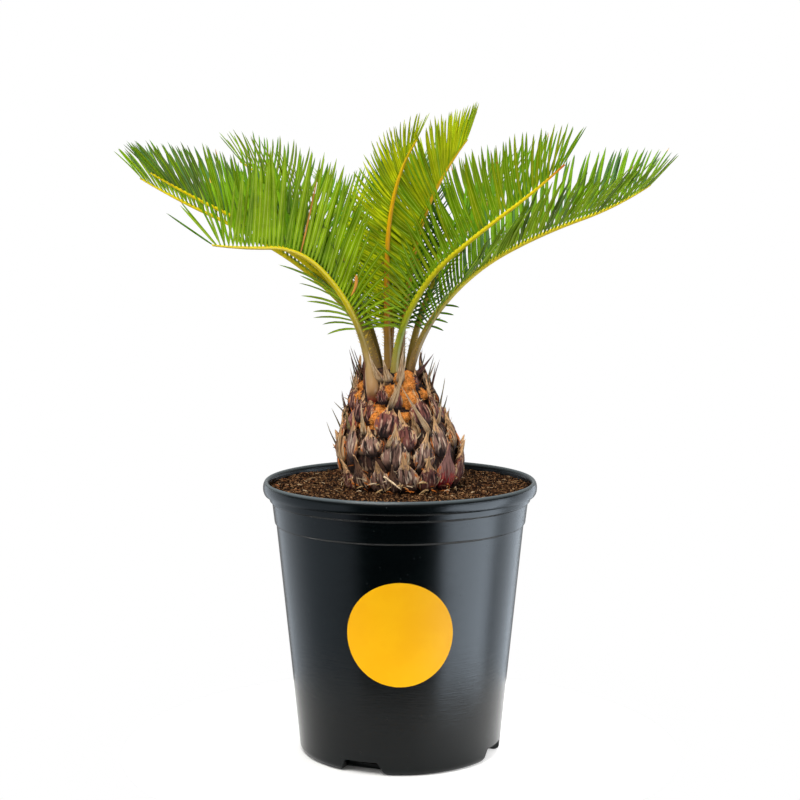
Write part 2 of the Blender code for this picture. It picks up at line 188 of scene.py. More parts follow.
def makeMottle():  # two colours in soft patches
    tree, given, result = newTree("mottle", "ShaderNodeTree", [
        ("Vector", "Vector", None), ("Stretch", "Vector", (1, 1, 1)),
        ("First", "Color", (0, 0, 0, 1)), ("Second", "Color", (1, 1, 1, 1)),
        ("Scale", "Float", 50.0), ("Detail", "Float", 3.0), ("Low", "Float", 0.4), ("High", "Float", 0.6),
    ], [("Color", "Color"), ("Mask", "Float")])
    cloud = addNode(tree, "ShaderNodeTexNoise", {
        "Vector": vectorMaths(tree, "MULTIPLY", given["Vector"], given["Stretch"]),
        "Scale": given["Scale"], "Detail": given["Detail"]})
    mask = mapped(tree, cloud, given["Low"], given["High"], interpolation_type="SMOOTHSTEP")
    blend = addNode(tree, "ShaderNodeMix", {
        "Factor": mask, "A": given["First"], "B": given["Second"]}, data_type="RGBA")
    tree.links.new(socketOf(blend.outputs), result["Color"])
    tree.links.new(socketOf(mask.outputs), result["Mask"])
    return tree


def makeFlecks():  # scattered round spots, some of the cells only
    tree, given, result = newTree("flecks", "ShaderNodeTree", [
        ("Vector", "Vector", None), ("Scale", "Float", 100.0),
        ("Size", "Float", 0.2), ("Share", "Float", 0.5),
    ], [("Mask", "Float")])
    cells = addNode(tree, "ShaderNodeTexVoronoi", {"Vector": given["Vector"], "Scale": given["Scale"]})
    chance = addNode(tree, "ShaderNodeSeparateColor", {0: cells.outputs["Color"]})
    chosen = maths(tree, "LESS_THAN", chance, given["Share"])
    mask = maths(tree, "MULTIPLY", mapped(tree, cells.outputs["Distance"], given["Size"], 0.0), chosen)
    tree.links.new(socketOf(mask.outputs), result["Mask"])
    return tree


groups = {"mottle": makeMottle(), "flecks": makeFlecks()}


def groupNode(tree, name, inputs):
    node = tree.nodes.new("ShaderNodeGroup")
    node.node_tree = groups[name]
    for key, value in inputs.items():
        socket = node.inputs[key]
        if isinstance(value, bpy.types.Node):
            value = socketOf(value.outputs)
        if isinstance(value, bpy.types.NodeSocket):
            tree.links.new(value, socket)
        elif isinstance(value, tuple) and len(value) == 3 and key in ("First", "Second"):
            socket.default_value = (*value, 1.0)
        else:
            socket.default_value = value
    return node


def mottle(tree, where, **values):  # values by the names of the group's inputs, in small letters
    inputs = {key.capitalize(): value for key, value in values.items()}
    return groupNode(tree, "mottle", {"Vector": where, **inputs})


def startMaterial(name, roughness=0.5, specular=0.5):
    made = bpy.data.materials.new(name)
    made.use_nodes = True
    shader = made.node_tree.nodes["Principled BSDF"]
    shader.inputs["Roughness"].default_value = roughness
    shader.inputs["Specular IOR Level"].default_value = specular
    return made, made.node_tree, shader


def place(tree):
    return addNode(tree, "ShaderNodeTexCoord").outputs["Object"]


def blendColour(tree, factor, first, second):
    inputs = {"Factor": factor, "A": first, "B": second}
    for key in ("A", "B"):
        if isinstance(inputs[key], tuple):
            inputs[key] = (*inputs[key], 1.0)
    return addNode(tree, "ShaderNodeMix", inputs, data_type="RGBA")


def wire(tree, shader, colour=None, roughness=None, height=None, relief=0.0005, strength=1.0):
    if colour is not None:
        tree.links.new(socketOf(colour.outputs), shader.inputs["Base Color"])
    if roughness is not None:
        tree.links.new(socketOf(roughness.outputs), shader.inputs["Roughness"])
    if height is not None:
        bump = addNode(tree, "ShaderNodeBump", {"Height": height, "Distance": relief, "Strength": strength})
        tree.links.new(bump.outputs["Normal"], shader.inputs["Normal"])


# Camera, floor and lights

studio = {
    "camera": (0, -1.733, 0.533), "dip": 6.73, "lens": 85, "sensor": 36,
    "floorRadius": 0.26, "floorSides": 96,
    "keys": (  # name, place, aim, width, height, watts
        ("keyPanel", (-0.6, -1.0, 2.0), (0, 0, 0.35), 1.2, 1.2, 38),
    ),
    "fills": (  # the same, for what lights and shows in nothing
        ("frontPanel", (0, -1.6, 0.4), (0, 0, 0.3), 1.2, 0.8, 3.5),
        ("leftPanel", (-1.25, -0.4, 0.45), (0, 0, 0.3), 1.7, 1.5, 10),
        ("rightPanel", (1.25, -0.4, 0.45), (0, 0, 0.3), 1.7, 1.5, 11),
        ("backPanel", (0.2, 1.3, 1.5), (0, 0, 0.4), 1.6, 1.2, 12),
    ),
    "reflectors": (  # the same, for what shows in the pot's sides only
        ("leftReflector", (-1.3, 0.5, -0.2), (0, 0.5, -0.2), 4.1, 1.3, 16),
        ("rightReflector", (1.3, -0.75, -0.2), (0, -0.75, -0.2), 1.7, 1.3, 52),
        ("rearReflector", (1.3, 1.35, -0.2), (0, 1.35, -0.2), 2.5, 1.3, 17),
    ),
    "warm": (1.0, 0.985, 0.95), "cool": (0.87, 1.0, 1.14),
    "front": 0.004, "behind": 0.35, "above": 0.8, "floorGlow": 1.0,
    "glowBand": (0.02, 0.14),  # where the floor grows white, to the right of the pot's middle
}


def addCamera():
    data = bpy.data.cameras.new("camera")
    data.lens = studio["lens"]
    data.sensor_width = studio["sensor"]
    camera = addObject("camera", data)
    camera.location = studio["camera"]
    camera.rotation_euler = (math.radians(90 - studio["dip"]), 0, 0)
    bpy.context.scene.camera = camera


def addFloor():
    bm = bmesh.new()
    bmesh.ops.create_circle(bm, cap_ends=True, segments=studio["floorSides"], radius=studio["floorRadius"])
    floor = addObject("floor", meshFrom(bm, "floor"))
    made, tree, shader = startMaterial("paleFloor", roughness=0.7, specular=0.1)
    wire(tree, shader, mottle(tree, place(tree), first=(0.9, 0.9, 0.9), second=(0.93, 0.93, 0.93), scale=6.0))
    glow = mapped(tree, split(tree, place(tree)), *studio["glowBand"], 0.0, studio["floorGlow"])
    tree.links.new(glow.outputs["Result"], shader.inputs["Emission Strength"])
    shader.inputs["Emission Color"].default_value = (1, 1, 1, 1)
    floor.data.materials.append(made)


def addLights(lights, colour, lit, mirrored):
    for name, spot, aim, width, height, watts in lights:
        data = bpy.data.lights.new(name, "AREA")
        data.shape = "RECTANGLE"
        data.size = width
        data.size_y = height
        data.energy = watts
        data.color = colour
        light = addObject(name, data)
        light.visible_camera = False
        light.visible_diffuse = lit
        light.visible_glossy = mirrored
        light.location = spot
        light.rotation_euler = (Vector(aim) - Vector(spot)).to_track_quat("-Z", "Y").to_euler()


def addWorld():  # white where it shows, and dim in front of the pot where the studio is dark
    world = bpy.data.worlds.new("studio")
    bpy.context.scene.world = world
    world.use_nodes = True
    tree = world.node_tree
    tree.nodes.clear()
    _, y, z = split(tree, addNode(tree, "ShaderNodeTexCoord").outputs["Generated"]).outputs
    behind = mapped(tree, y, 0.0, 0.6, studio["front"], studio["behind"], interpolation_type="SMOOTHSTEP")
    above = mapped(tree, z, 0.1, 0.8, 0.0, studio["above"], interpolation_type="SMOOTHSTEP")
    dim = maths(tree, "MAXIMUM", behind, above)
    light = addNode(tree, "ShaderNodeBackground", {"Color": (1, 1, 1, 1), "Strength": dim})
    shown = addNode(tree, "ShaderNodeBackground", {"Color": (1, 1, 1, 1), "Strength": 1.0})
    path = addNode(tree, "ShaderNodeLightPath")
    either = addNode(tree, "ShaderNodeMixShader", {0: path.outputs["Is Camera Ray"], 1: light, 2: shown})
    addNode(tree, "ShaderNodeOutputWorld", {"Surface": either})
    bpy.context.scene.view_settings.view_transform = "Standard"


addCamera()
addFloor()
addLights(studio["keys"], studio["warm"], True, True)
addLights(studio["fills"], studio["warm"], True, False)
addLights(studio["reflectors"], studio["cool"], False, True)
addWorld()
print("studio ready")


# Pot: a thin shell turned from one profile, with the drain bays and slots cut out

pot = {
    "sides": 192, "rimHeight": 0.2545, "lipRadius": 0.127, "lipHalfWidth": 0.003, "lipHalfHeight": 0.0065,
    "lipSweep": 240, "lipSteps": 14, "neckRadius": 0.1209, "neckTop": 0.2415,
    "upperLedge": 0.2365, "upperBandRadius": 0.1187, "lowerLedge": 0.2158, "lowerBandRadius": 0.1164,
    "bodyTopRadius": 0.1149, "ledgeDrop": 0.0014, "ledgeRounding": 0.0007,
    "bodyFoot": 0.024, "bodyFootRadius": 0.0956, "cornerRadius": 0.0065, "cornerSteps": 8,
    "baseRadius": 0.0875, "wall": 0.0018, "floor": 0.0022,
    "bayAngles": (-112, -22, 68, 158), "bayHeight": 0.012, "bayInner": 0.074, "bayOuter": 0.11,
    "bayHalfTop": 0.0155, "bayHalfFoot": 0.0235, "bayBelow": 0.002, "bayEdge": 0.0011,
    "slotHalf": 0.008, "slotLow": 0.0042, "slotHigh": 0.0092, "slotReach": 0.005,
    # where the painted highlight on the rim's crest starts and ends, below the rim
    "crestHighlightFrom": 0.0006, "crestHighlightTo": 0.0026,
}


def rounded(points, radius, steps=4):  # takes the corners off an open outline
    soft = [points[0]]
    for before, corner, after in zip(points, points[1:], points[2:]):
        back = Vector(before) - Vector(corner)
        on = Vector(after) - Vector(corner)
        cut = min(radius, back.length * 0.45, on.length * 0.45)
        start = Vector(corner) + back.normalized() * cut
        end = Vector(corner) + on.normalized() * cut
        for step in range(steps + 1):
            t = step / steps
            soft.append(start * (1 - t) ** 2 + Vector(corner) * (2 * t * (1 - t)) + end * t ** 2)
    soft.append(points[-1])
    return [tuple(point) for point in soft]


def turned(name, profile, sides, sharp=30):
    bm = bmesh.new()
    verts = [bm.verts.new((radius, 0, height)) for radius, height in profile]
    edges = [bm.edges.new(pair) for pair in zip(verts, verts[1:])]
    bmesh.ops.spin(bm, geom=verts + edges, cent=(0, 0, 0), axis=(0, 0, 1),
                   angle=2 * math.pi, steps=sides, use_merge=True)
    bmesh.ops.remove_doubles(bm, verts=bm.verts, dist=0.00002)
    return addObject(name, meshFrom(bm, name, sharp))


def potWall(inset=0.0):
    drop = pot["ledgeDrop"]
    side = [(pot["neckRadius"], pot["upperLedge"]), (pot["upperBandRadius"], pot["upperLedge"] - drop),
            (pot["lowerBandRadius"], pot["lowerLedge"]), (pot["bodyTopRadius"], pot["lowerLedge"] - drop),
            (pot["bodyFootRadius"], pot["bodyFoot"])]
    for step in range(pot["cornerSteps"] + 1):
        turn = math.radians(90 * step / pot["cornerSteps"])
        side.append((pot["baseRadius"] + pot["cornerRadius"] * math.cos(turn),
                     pot["cornerRadius"] - pot["cornerRadius"] * math.sin(turn)))
    return [(radius - inset, height) for radius, height in side]


def potLip():
    middle = pot["lipRadius"] - pot["lipHalfWidth"]
    level = pot["rimHeight"] - pot["lipHalfHeight"]
    steps = pot["lipSteps"]
    turns = [math.radians(180 - pot["lipSweep"] * step / steps) for step in range(steps + 1)]
    return [(middle + pot["lipHalfWidth"] * math.cos(turn), level + pot["lipHalfHeight"] * math.sin(turn))
            for turn in turns]


def blocks(name, corners, edge=0.0):  # one object of closed eight-cornered blocks
    bm = bmesh.new()
    for block in corners:
        verts = [bm.verts.new(corner) for corner in block]
        for face in ((0, 1, 2, 3), (7, 6, 5, 4), (0, 4, 5, 1), (1, 5, 6, 2), (2, 6, 7, 3), (3, 7, 4, 0)):
            bm.faces.new([verts[i] for i in face])
    bmesh.ops.recalc_face_normals(bm, faces=bm.faces)
    if edge:  # all edges are rounded but the level ones under the ground
        chosen = []
        for side in bm.edges:
            low, high = sorted(vert.co.z for vert in side.verts)
            if low > 0 or high - low > 1e-6:
                chosen.append(side)
        bmesh.ops.bevel(bm, geom=chosen, offset=edge, segments=3, profile=0.5, affect="EDGES")
    return addObject(name, meshFrom(bm, name))


def bayBlock(angle, more):
    turn = Matrix.Rotation(math.radians(angle), 3, "Z")
    foot, top, high = pot["bayHalfFoot"] + more, pot["bayHalfTop"] + more, pot["bayHeight"] + more
    outline = ((-foot, -pot["bayBelow"]), (foot, -pot["bayBelow"]), (top, high), (-top, high))
    return [turn @ Vector((radius, across, height))
            for radius in (pot["bayInner"] - more, pot["bayOuter"]) for across, height in outline]


def slotBlock(angle):
    turn = Matrix.Rotation(math.radians(angle), 3, "Z")
    reach, half, low, high = pot["slotReach"], pot["slotHalf"], pot["slotLow"], pot["slotHigh"]
    return [turn @ Vector((pot["bayInner"] + side, across, height)) for side in (-reach, reach)
            for across, height in ((-half, low), (half, low), (half, high), (-half, high))]


def cutAway(piece, cutter):
    boolean = piece.modifiers.new("cut", "BOOLEAN")
    boolean.operation = "DIFFERENCE"
    boolean.solver = "EXACT"
    boolean.object = cutter
    settle(piece)
    discard(cutter)


def potMaterial():
    made, tree, shader = startMaterial("blackPotPlastic", specular=0.22)
    where = place(tree)
    level = split(tree, where).outputs["Z"]
    # painted highlight: a pale band on the rim's crest stands in for the light it catches
    paintedCrestHighlight = mapped(tree, level, pot["rimHeight"] - pot["crestHighlightTo"], pot["rimHeight"] - pot["crestHighlightFrom"])
    haze = mottle(tree, where, stretch=(1, 1, 3), first=(0.0006, 0.0016, 0.0019),
                  second=(0.0012, 0.0026, 0.0030), scale=9.0, detail=4.0, low=0.35, high=0.7)
    scuffs = mottle(tree, where, stretch=(1, 1, 34), scale=24.0, detail=5.0, low=0.56, high=0.74)
    brushed = mottle(tree, where, stretch=(1, 1, 60), scale=40.0, detail=3.0, low=0.3, high=0.7)
    dust = groupNode(tree, "flecks", {"Vector": where, "Scale": 170.0, "Size": 0.13, "Share": 0.16})
    marks = maths(tree, "MULTIPLY", scuffs.outputs["Mask"], 0.16)
    base = blendColour(tree, marks, haze.outputs["Color"], (0.010, 0.018, 0.020))
    base = blendColour(tree, paintedCrestHighlight, base, (0.085, 0.105, 0.115))  # painted highlight: the rim's crest is painted pale where it catches the light
    colour = blendColour(tree, maths(tree, "MULTIPLY", dust, 0.3), base, (0.10, 0.11, 0.115))
    rough = maths(tree, "MULTIPLY_ADD", brushed.outputs["Mask"], 0.05, 0.18)
    wire(tree, shader, colour, rough, brushed.outputs["Mask"], 0.00003)
    return made


def buildPot():
    outline = [(0, pot["rimHeight"] - pot["lipHalfHeight"])] + potLip()
    side = rounded([(pot["neckRadius"], pot["neckTop"])] + potWall()[:5], pot["ledgeRounding"])
    outline += side + potWall()[5:] + [(0, 0)]
    shell = turned("potShell", outline, pot["sides"])

    mouth = pot["lipRadius"] - 2 * pot["lipHalfWidth"]
    wall = pot["wall"]
    above = pot["rimHeight"] + wall
    inside = [(0, above), (mouth, above), (mouth, pot["rimHeight"] - pot["lipHalfHeight"])]
    inside += [(pot["neckRadius"] - wall, pot["neckTop"] + wall)]
    inside += [point for point in potWall(wall) if point[1] > pot["floor"]]
    inside += [(pot["baseRadius"] - wall, pot["floor"]), (0, pot["floor"])]
    cavity = turned("cavity", inside, pot["sides"])

    cutAway(shell, blocks("bays", [bayBlock(angle, 0.0) for angle in pot["bayAngles"]], pot["bayEdge"]))
    cutAway(cavity, blocks("linings", [bayBlock(angle, wall) for angle in pot["bayAngles"]], pot["bayEdge"]))
    cutAway(shell, cavity)
    cutAway(shell, blocks("slots", [slotBlock(angle) for angle in pot["bayAngles"]]))
    smooth(shell.data, 30)
    shell.data.materials.clear()
    shell.data.materials.append(potMaterial())
    return handOver(shell, "pot_plastic", "pot")


buildPot()
print("pot done")


# Label: a plain round label bent round the front of the pot

label = {"radius": 0.048, "height": 0.1325, "lift": 0.0004, "thickness": 0.0004, "sides": 96, "rings": 8}


def potRadius(height):
    low, high = pot["bodyFoot"], pot["lowerLedge"] - pot["ledgeDrop"]
    return along([(low, pot["bodyFootRadius"]), (high, pot["bodyTopRadius"])], height)


def labelMaterial():
    made, tree, shader = startMaterial("yellowPaper", roughness=0.5, specular=0.12)
    where = place(tree)
    fibre = mottle(tree, where, stretch=(1, 1, 2.5), scale=900.0, detail=2.0, low=0.3, high=0.7)
    tone = mottle(tree, where, first=(0.94, 0.462, 0.002), second=(0.96, 0.49, 0.003), scale=30.0)
    wire(tree, shader, tone, None, fibre.outputs["Mask"], 0.00002, 0.6)
    return made


def buildLabel():
    bm = bmesh.new()
    layers = []
    for lift in (label["lift"], label["lift"] + label["thickness"]):
        layer = []
        for ring in range(1, label["rings"] + 1):
            reach = label["radius"] * ring / label["rings"]
            layer.append([bm.verts.new(onPot(reach, side, lift)) for side in range(label["sides"])])
        hub = bm.verts.new(onPot(0, 0, lift))
        for side in range(label["sides"]):
            bm.faces.new((hub, layer[0][side - 1], layer[0][side]))
            for inner, outer in zip(layer, layer[1:]):
                bm.faces.new((inner[side - 1], outer[side - 1], outer[side], inner[side]))
        layers.append(layer)
    for side in range(label["sides"]):
        under, over = layers[0][-1], layers[1][-1]
        bm.faces.new((under[side - 1], under[side], over[side], over[side - 1]))
    piece = addObject("plainLabel", meshFrom(bm, "plainLabel", 40))
    piece.data.materials.append(labelMaterial())
    return handOver(piece, "label_paper", "label")


def onPot(reach, side, lift):
    turn = 2 * math.pi * side / label["sides"]
    height = label["height"] + reach * math.sin(turn)
    angle = reach * math.cos(turn) / potRadius(height) - math.pi / 2
    radius = potRadius(height) + lift
    return Vector((radius * math.cos(angle), radius * math.sin(angle), height))


buildLabel()
print("label done")


# Growing: a blank is a small closed blade along +X, and the tree sets one on every point.
# Each point says how its blade runs: its way, its upper side, its reach, widths and bend.

Shoot = namedtuple("Shoot", "root way thick bend reach half depth tint dry")


def makeBlank(name, stations, section, partOf=None, tipHeight=0.0):
    partOf = partOf or (0,) * len(section)
    bm = bmesh.new()
    local = bm.verts.layers.float_vector.new("blank")
    part = bm.faces.layers.int.new("part")
    last = bm.faces.layers.int.new("last")
    rings = [[bm.verts.new((x, y * wide, z * deep)) for y, z in section] for x, wide, deep in stations]
    tip = bm.verts.new((1, 0, tipHeight))
    count = len(section)
    bm.faces.new(rings[0])
    for number, ring in enumerate(rings):
        for corner in range(count):
            after = (corner + 1) % count
            if number + 1 < len(rings):
                ahead = rings[number + 1]
                face = bm.faces.new((ring[corner], ring[after], ahead[after], ahead[corner]))
            else:
                face = bm.faces.new((ring[corner], ring[after], tip))
            face[part] = partOf[corner]
            face[last] = int(number >= len(rings) - 1)
    for vert in bm.verts:
        vert[local] = vert.co
    return addObject(name, meshFrom(bm, name))


def makeGrowTree(materials):
    inputs = [("Geometry", "Geometry", None), ("Blank", "Object", None), ("Parts", "Int", 2),
              ("Stir", "Float", 0.0), ("Ripple", "Float", 0.0), ("Ripple Scale", "Float", 4.0),
              ("Seed", "Int", 1), ("Dry Material", "Material", None)]
    inputs += [(f"Material {number}", "Material", None) for number in range(materials)]
    tree, given, result = newTree(
        f"growBlades{materials}", "GeometryNodeTree", inputs, [("Geometry", "Geometry")])
    chance = addNode(tree, "FunctionNodeRandomValue", {
        "Min": (-1, -1, -1), "Max": (1, 1, 1), "Seed": given["Seed"]}, data_type="FLOAT_VECTOR")
    shape = given["Geometry"]
    for name, value in (("stir", chance), ("root", addNode(tree, "GeometryNodeInputPosition"))):
        shape = addNode(tree, "GeometryNodeStoreNamedAttribute", {
            "Geometry": shape, "Name": name, "Value": value}, data_type="FLOAT_VECTOR", domain="POINT")
    blank = addNode(tree, "GeometryNodeObjectInfo", {"Object": given["Blank"]}).outputs["Geometry"]
    blades = addNode(tree, "GeometryNodeInstanceOnPoints", {"Points": shape, "Instance": blank})
    blades = addNode(tree, "GeometryNodeRealizeInstances", {"Geometry": blades})

    local = named(tree, "blank")
    x, y, z = split(tree, local).outputs
    reach, half, depth = (named(tree, name, "FLOAT") for name in ("reach", "half", "depth"))
    square = maths(tree, "MULTIPLY", x, x)
    grain = vectorMaths(tree, "MULTIPLY", local, (1.2, 4.0, 1.0))
    grain = vectorMaths(tree, "ADD", grain, scaled(tree, named(tree, "root"), 90.0))
    wrinkle = addNode(tree, "ShaderNodeTexNoise", {
        "Vector": grain, "Scale": given["Ripple Scale"], "Detail": 2.0})
    wrinkle = maths(tree, "MULTIPLY", maths(tree, "SUBTRACT", wrinkle, 0.5), given["Ripple"])
    lift = maths(tree, "MULTIPLY_ADD", z, depth, wrinkle)
    stray = maths(tree, "MULTIPLY", maths(tree, "MULTIPLY", square, reach), given["Stir"])
    onward, sideways = maths(tree, "MULTIPLY", x, reach), maths(tree, "MULTIPLY", y, half)
    spot = named(tree, "root")
    for direction, amount in (
            ("way", onward), ("across", sideways), ("thick", lift), ("bend", square), ("stir", stray)):
        spot = vectorMaths(tree, "ADD", spot, scaled(tree, named(tree, direction), amount))
    blades = addNode(tree, "GeometryNodeSetPosition", {"Geometry": blades, "Position": spot})

    kind = maths(tree, "MULTIPLY_ADD", named(tree, "tint", "INT"), given["Parts"], named(tree, "part", "INT"))
    for number in range(materials):
        chosen = maths(tree, "COMPARE", kind, float(number), 0.2)
        blades = addNode(tree, "GeometryNodeSetMaterial", {
            "Geometry": blades, "Selection": chosen, "Material": given[f"Material {number}"]})
    dryEnd = maths(tree, "MULTIPLY", named(tree, "dry", "INT"), named(tree, "last", "INT"))
    blades = addNode(tree, "GeometryNodeSetMaterial", {
        "Geometry": blades, "Selection": maths(tree, "GREATER_THAN", dryEnd, 0.5),
        "Material": given["Dry Material"]})
    tree.links.new(socketOf(blades.outputs), result["Geometry"])
    return tree


growTrees = {}


def grow(name, shoots, blank, finishes, dryFinish=None, parts=2, stir=0.0, ripple=0.0, rippleScale=4.0,
         seed=1, sharp=60, keep=()):
    mesh = bpy.data.meshes.new(name)
    mesh.from_pydata([shoot.root for shoot in shoots], [], [])
    columns = {key: [getattr(shoot, key) for shoot in shoots] for key in Shoot._fields[1:]}
    columns["across"] = [shoot.thick.cross(shoot.way) for shoot in shoots]
    for key, values in columns.items():
        if isinstance(values[0], Vector):
            data = mesh.attributes.new(key, "FLOAT_VECTOR", "POINT").data
            data.foreach_set("vector", [number for value in values for number in value])
        else:
            data = mesh.attributes.new(key, "INT" if key in ("tint", "dry") else "FLOAT", "POINT").data
            data.foreach_set("value", values)
    if len(finishes) not in growTrees:
        growTrees[len(finishes)] = makeGrowTree(len(finishes))
    values = {f"Material {number}": finish for number, finish in enumerate(finishes)}
    values.update({"Blank": blank, "Parts": parts, "Stir": stir, "Ripple": ripple,
                   "Ripple Scale": rippleScale, "Seed": seed, "Dry Material": dryFinish or finishes[0]})
    piece = useTree(addObject(name, mesh), growTrees[len(finishes)], values)
    for key in {*columns, "stir", "root", "part", "last", "blank"} - set(keep):
        piece.data.attributes.remove(piece.data.attributes[key])
    smooth(piece.data, sharp)
    return piece


# Potting mix: a closed solid with a rough top, then crumbs, chips and fibres on it

soil = {
    "level": 0.249, "gap": 0.0003, "dip": 0.0004, "swell": 0.0012, "swellScale": 35.0,
    "rough": 0.0011, "roughScale": 110.0, "rings": 60, "sides": 180, "edgeDrop": 0.0015,
    "stepHeight": 0.0143, "stepRadius": 0.0715, "foot": 0.0025,
    "crumbs": 180000, "crumbSize": (0.0003, 0.0014), "seed": 11,
    "crumbColours": ((0.014, 0.006, 0.003), (0.066, 0.029, 0.012), (0.180, 0.092, 0.042)),
    "litter": 420, "litterFrom": 0.046, "litterTo": 0.116, "litterLift": 0.0008,
    "litterColours": (("tanFibre", (0.24, 0.14, 0.065)), ("rustChip", (0.18, 0.065, 0.025)),
                      ("paleFibre", (0.42, 0.30, 0.18)), ("darkChip", (0.05, 0.024, 0.012))),
}


def makeScatterTree():
    tree, given, result = newTree("scatterBits", "GeometryNodeTree", [
        ("Geometry", "Geometry", None), ("Bit", "Object", None), ("Density", "Float", 1000.0),
        ("Smallest", "Float", 0.001), ("Largest", "Float", 0.002), ("Sink", "Float", 0.0), ("Seed", "Int", 1),
        ("Material 0", "Material", None), ("Material 1", "Material", None), ("Material 2", "Material", None),
    ], [("Geometry", "Geometry")])
    spots = addNode(tree, "GeometryNodeDistributePointsOnFaces", {
        "Mesh": given["Geometry"], "Density": given["Density"], "Seed": given["Seed"]})
    low = scaled(tree, spots.outputs["Normal"], given["Sink"])
    points = addNode(tree, "GeometryNodeSetPosition", {"Geometry": spots, "Offset": low})
    shade = addNode(tree, "FunctionNodeRandomValue", {
        "Min": 0, "Max": 2, "Seed": given["Seed"]}, data_type="INT")
    points = addNode(tree, "GeometryNodeStoreNamedAttribute", {
        "Geometry": points, "Name": "tint", "Value": shade}, data_type="INT", domain="POINT")
    turn = addNode(tree, "FunctionNodeRandomValue", {
        "Min": (0, 0, 0), "Max": (6.283, 6.283, 6.283), "Seed": given["Seed"]}, data_type="FLOAT_VECTOR")
    size = addNode(tree, "FunctionNodeRandomValue", {
        "Min": given["Smallest"], "Max": given["Largest"], "Seed": given["Seed"]}, data_type="FLOAT")
    bit = addNode(tree, "GeometryNodeObjectInfo", {"Object": given["Bit"]}).outputs["Geometry"]
    bits = addNode(tree, "GeometryNodeInstanceOnPoints", {
        "Points": points, "Instance": bit, "Rotation": turn, "Scale": size})
    bits = addNode(tree, "GeometryNodeRealizeInstances", {"Geometry": bits})
    tint = named(tree, "tint", "INT")
    for number in range(3):
        bits = addNode(tree, "GeometryNodeSetMaterial", {
            "Geometry": bits, "Selection": maths(tree, "COMPARE", tint, float(number), 0.2),
            "Material": given[f"Material {number}"]})
    tree.links.new(socketOf(bits.outputs), result["Geometry"])
    return tree


scatterTree = makeScatterTree()


def makeBit(name, subdivisions, uneven, flat, seed):  # a rough crumb about two units across
    bm = bmesh.new()
    bmesh.ops.create_icosphere(bm, subdivisions=subdivisions, radius=1.0)
    rng = random.Random(seed)
    for vert in bm.verts:
        vert.co = vert.co * rng.uniform(1 - uneven, 1 + uneven)
        vert.co.z *= flat
    return addObject(name, meshFrom(bm, name))


def scatter(name, surface, bit, density, sizes, finishes, sink=0.0, seed=1, sharp=50):
    values = {f"Material {number}": finish for number, finish in enumerate(finishes)}
    values.update({"Bit": bit, "Density": density, "Smallest": sizes[0], "Largest": sizes[1],
                   "Sink": sink, "Seed": seed})
    piece = useTree(addObject(name, surface.copy()), scatterTree, values)
    if "tint" in piece.data.attributes:
        piece.data.attributes.remove(piece.data.attributes["tint"])
    smooth(piece.data, sharp)
    return piece


def crumbMaterial(name, colour, spread=0.5):
    made, tree, shader = startMaterial(name, roughness=0.9, specular=0.05)
    tone = mottle(tree, place(tree), first=timesColour(colour, 1 - spread),
                  second=timesColour(colour, 1 + spread), scale=420.0, detail=2.0, low=0.3, high=0.7)
    wire(tree, shader, tone, None, tone.outputs["Mask"], 0.0003, 0.7)
    return made


def soilHeight(x, y):
    swell = noise.noise(Vector((x, y, 0.0)) * soil["swellScale"]) * soil["swell"]
    rough = noise.noise(Vector((x, y, 0.4)) * soil["roughScale"]) * soil["rough"]
    return soil["level"] - soil["dip"] + swell + rough


def soilRing(radius):
    turns = [2 * math.pi * side / soil["sides"] for side in range(soil["sides"])]
    return [(radius * math.cos(turn), radius * math.sin(turn)) for turn in turns]


def buildSoil():
    wall, gap = pot["wall"], soil["gap"]
    edge = pot["lipRadius"] - 2 * pot["lipHalfWidth"] - gap
    bm = bmesh.new()
    rings = []
    for ring in range(1, soil["rings"] + 1):
        share = ring / soil["rings"]
        rings.append([bm.verts.new((x, y, soilHeight(x, y) - soil["edgeDrop"] * share ** 12))
                      for x, y in soilRing(edge * ring / soil["rings"])])
    profile = [(edge - 0.0004, pot["rimHeight"] - pot["lipHalfHeight"] - 0.001)]
    profile += [(pot["neckRadius"] - wall - gap, pot["neckTop"])]
    profile += [(radius - wall - gap, height) for radius, height in potWall()[:5]]
    slope = along([(0, pot["baseRadius"]), (pot["bodyFoot"], pot["bodyFootRadius"])], soil["stepHeight"])
    profile += [(slope - wall - gap, soil["stepHeight"]), (soil["stepRadius"], soil["stepHeight"]),
                (soil["stepRadius"], soil["foot"])]
    for radius, height in profile:
        rings.append([bm.verts.new((x, y, height)) for x, y in soilRing(radius)])
    hub = bm.verts.new((0, 0, soilHeight(0, 0)))
    for side in range(soil["sides"]):
        bm.faces.new((hub, rings[0][side - 1], rings[0][side]))
        for inner, outer in zip(rings, rings[1:]):
            bm.faces.new((inner[side - 1], outer[side - 1], outer[side], inner[side]))
    bm.faces.new(rings[-1])
    piece = addObject("pottingMix", meshFrom(bm, "pottingMix", 50))
    finishes = [crumbMaterial(f"pottingCrumb{number}", colour)
                for number, colour in enumerate(soil["crumbColours"])]
    piece.data.materials.append(finishes[0])
    handOver(piece, "potting_mix", "potting_mix")

    bm = bmesh.new()
    bm.from_mesh(piece.data)
    hidden = [face for face in bm.faces
              if face.normal.z < 0.5 or face.calc_center_median().z < pot["neckTop"]]
    bmesh.ops.delete(bm, geom=hidden, context="FACES")
    top = bpy.data.meshes.new("soilTop")
    bm.to_mesh(top)
    bm.free()
    bit = makeBit("crumb", 1, 0.3, 0.75, 4)
    crumbs = scatter(
        "pottingCrumbs", top, bit, soil["crumbs"], soil["crumbSize"], finishes, 0.0002, soil["seed"])
    handOver(crumbs, "potting_mix")
    discard(bit)


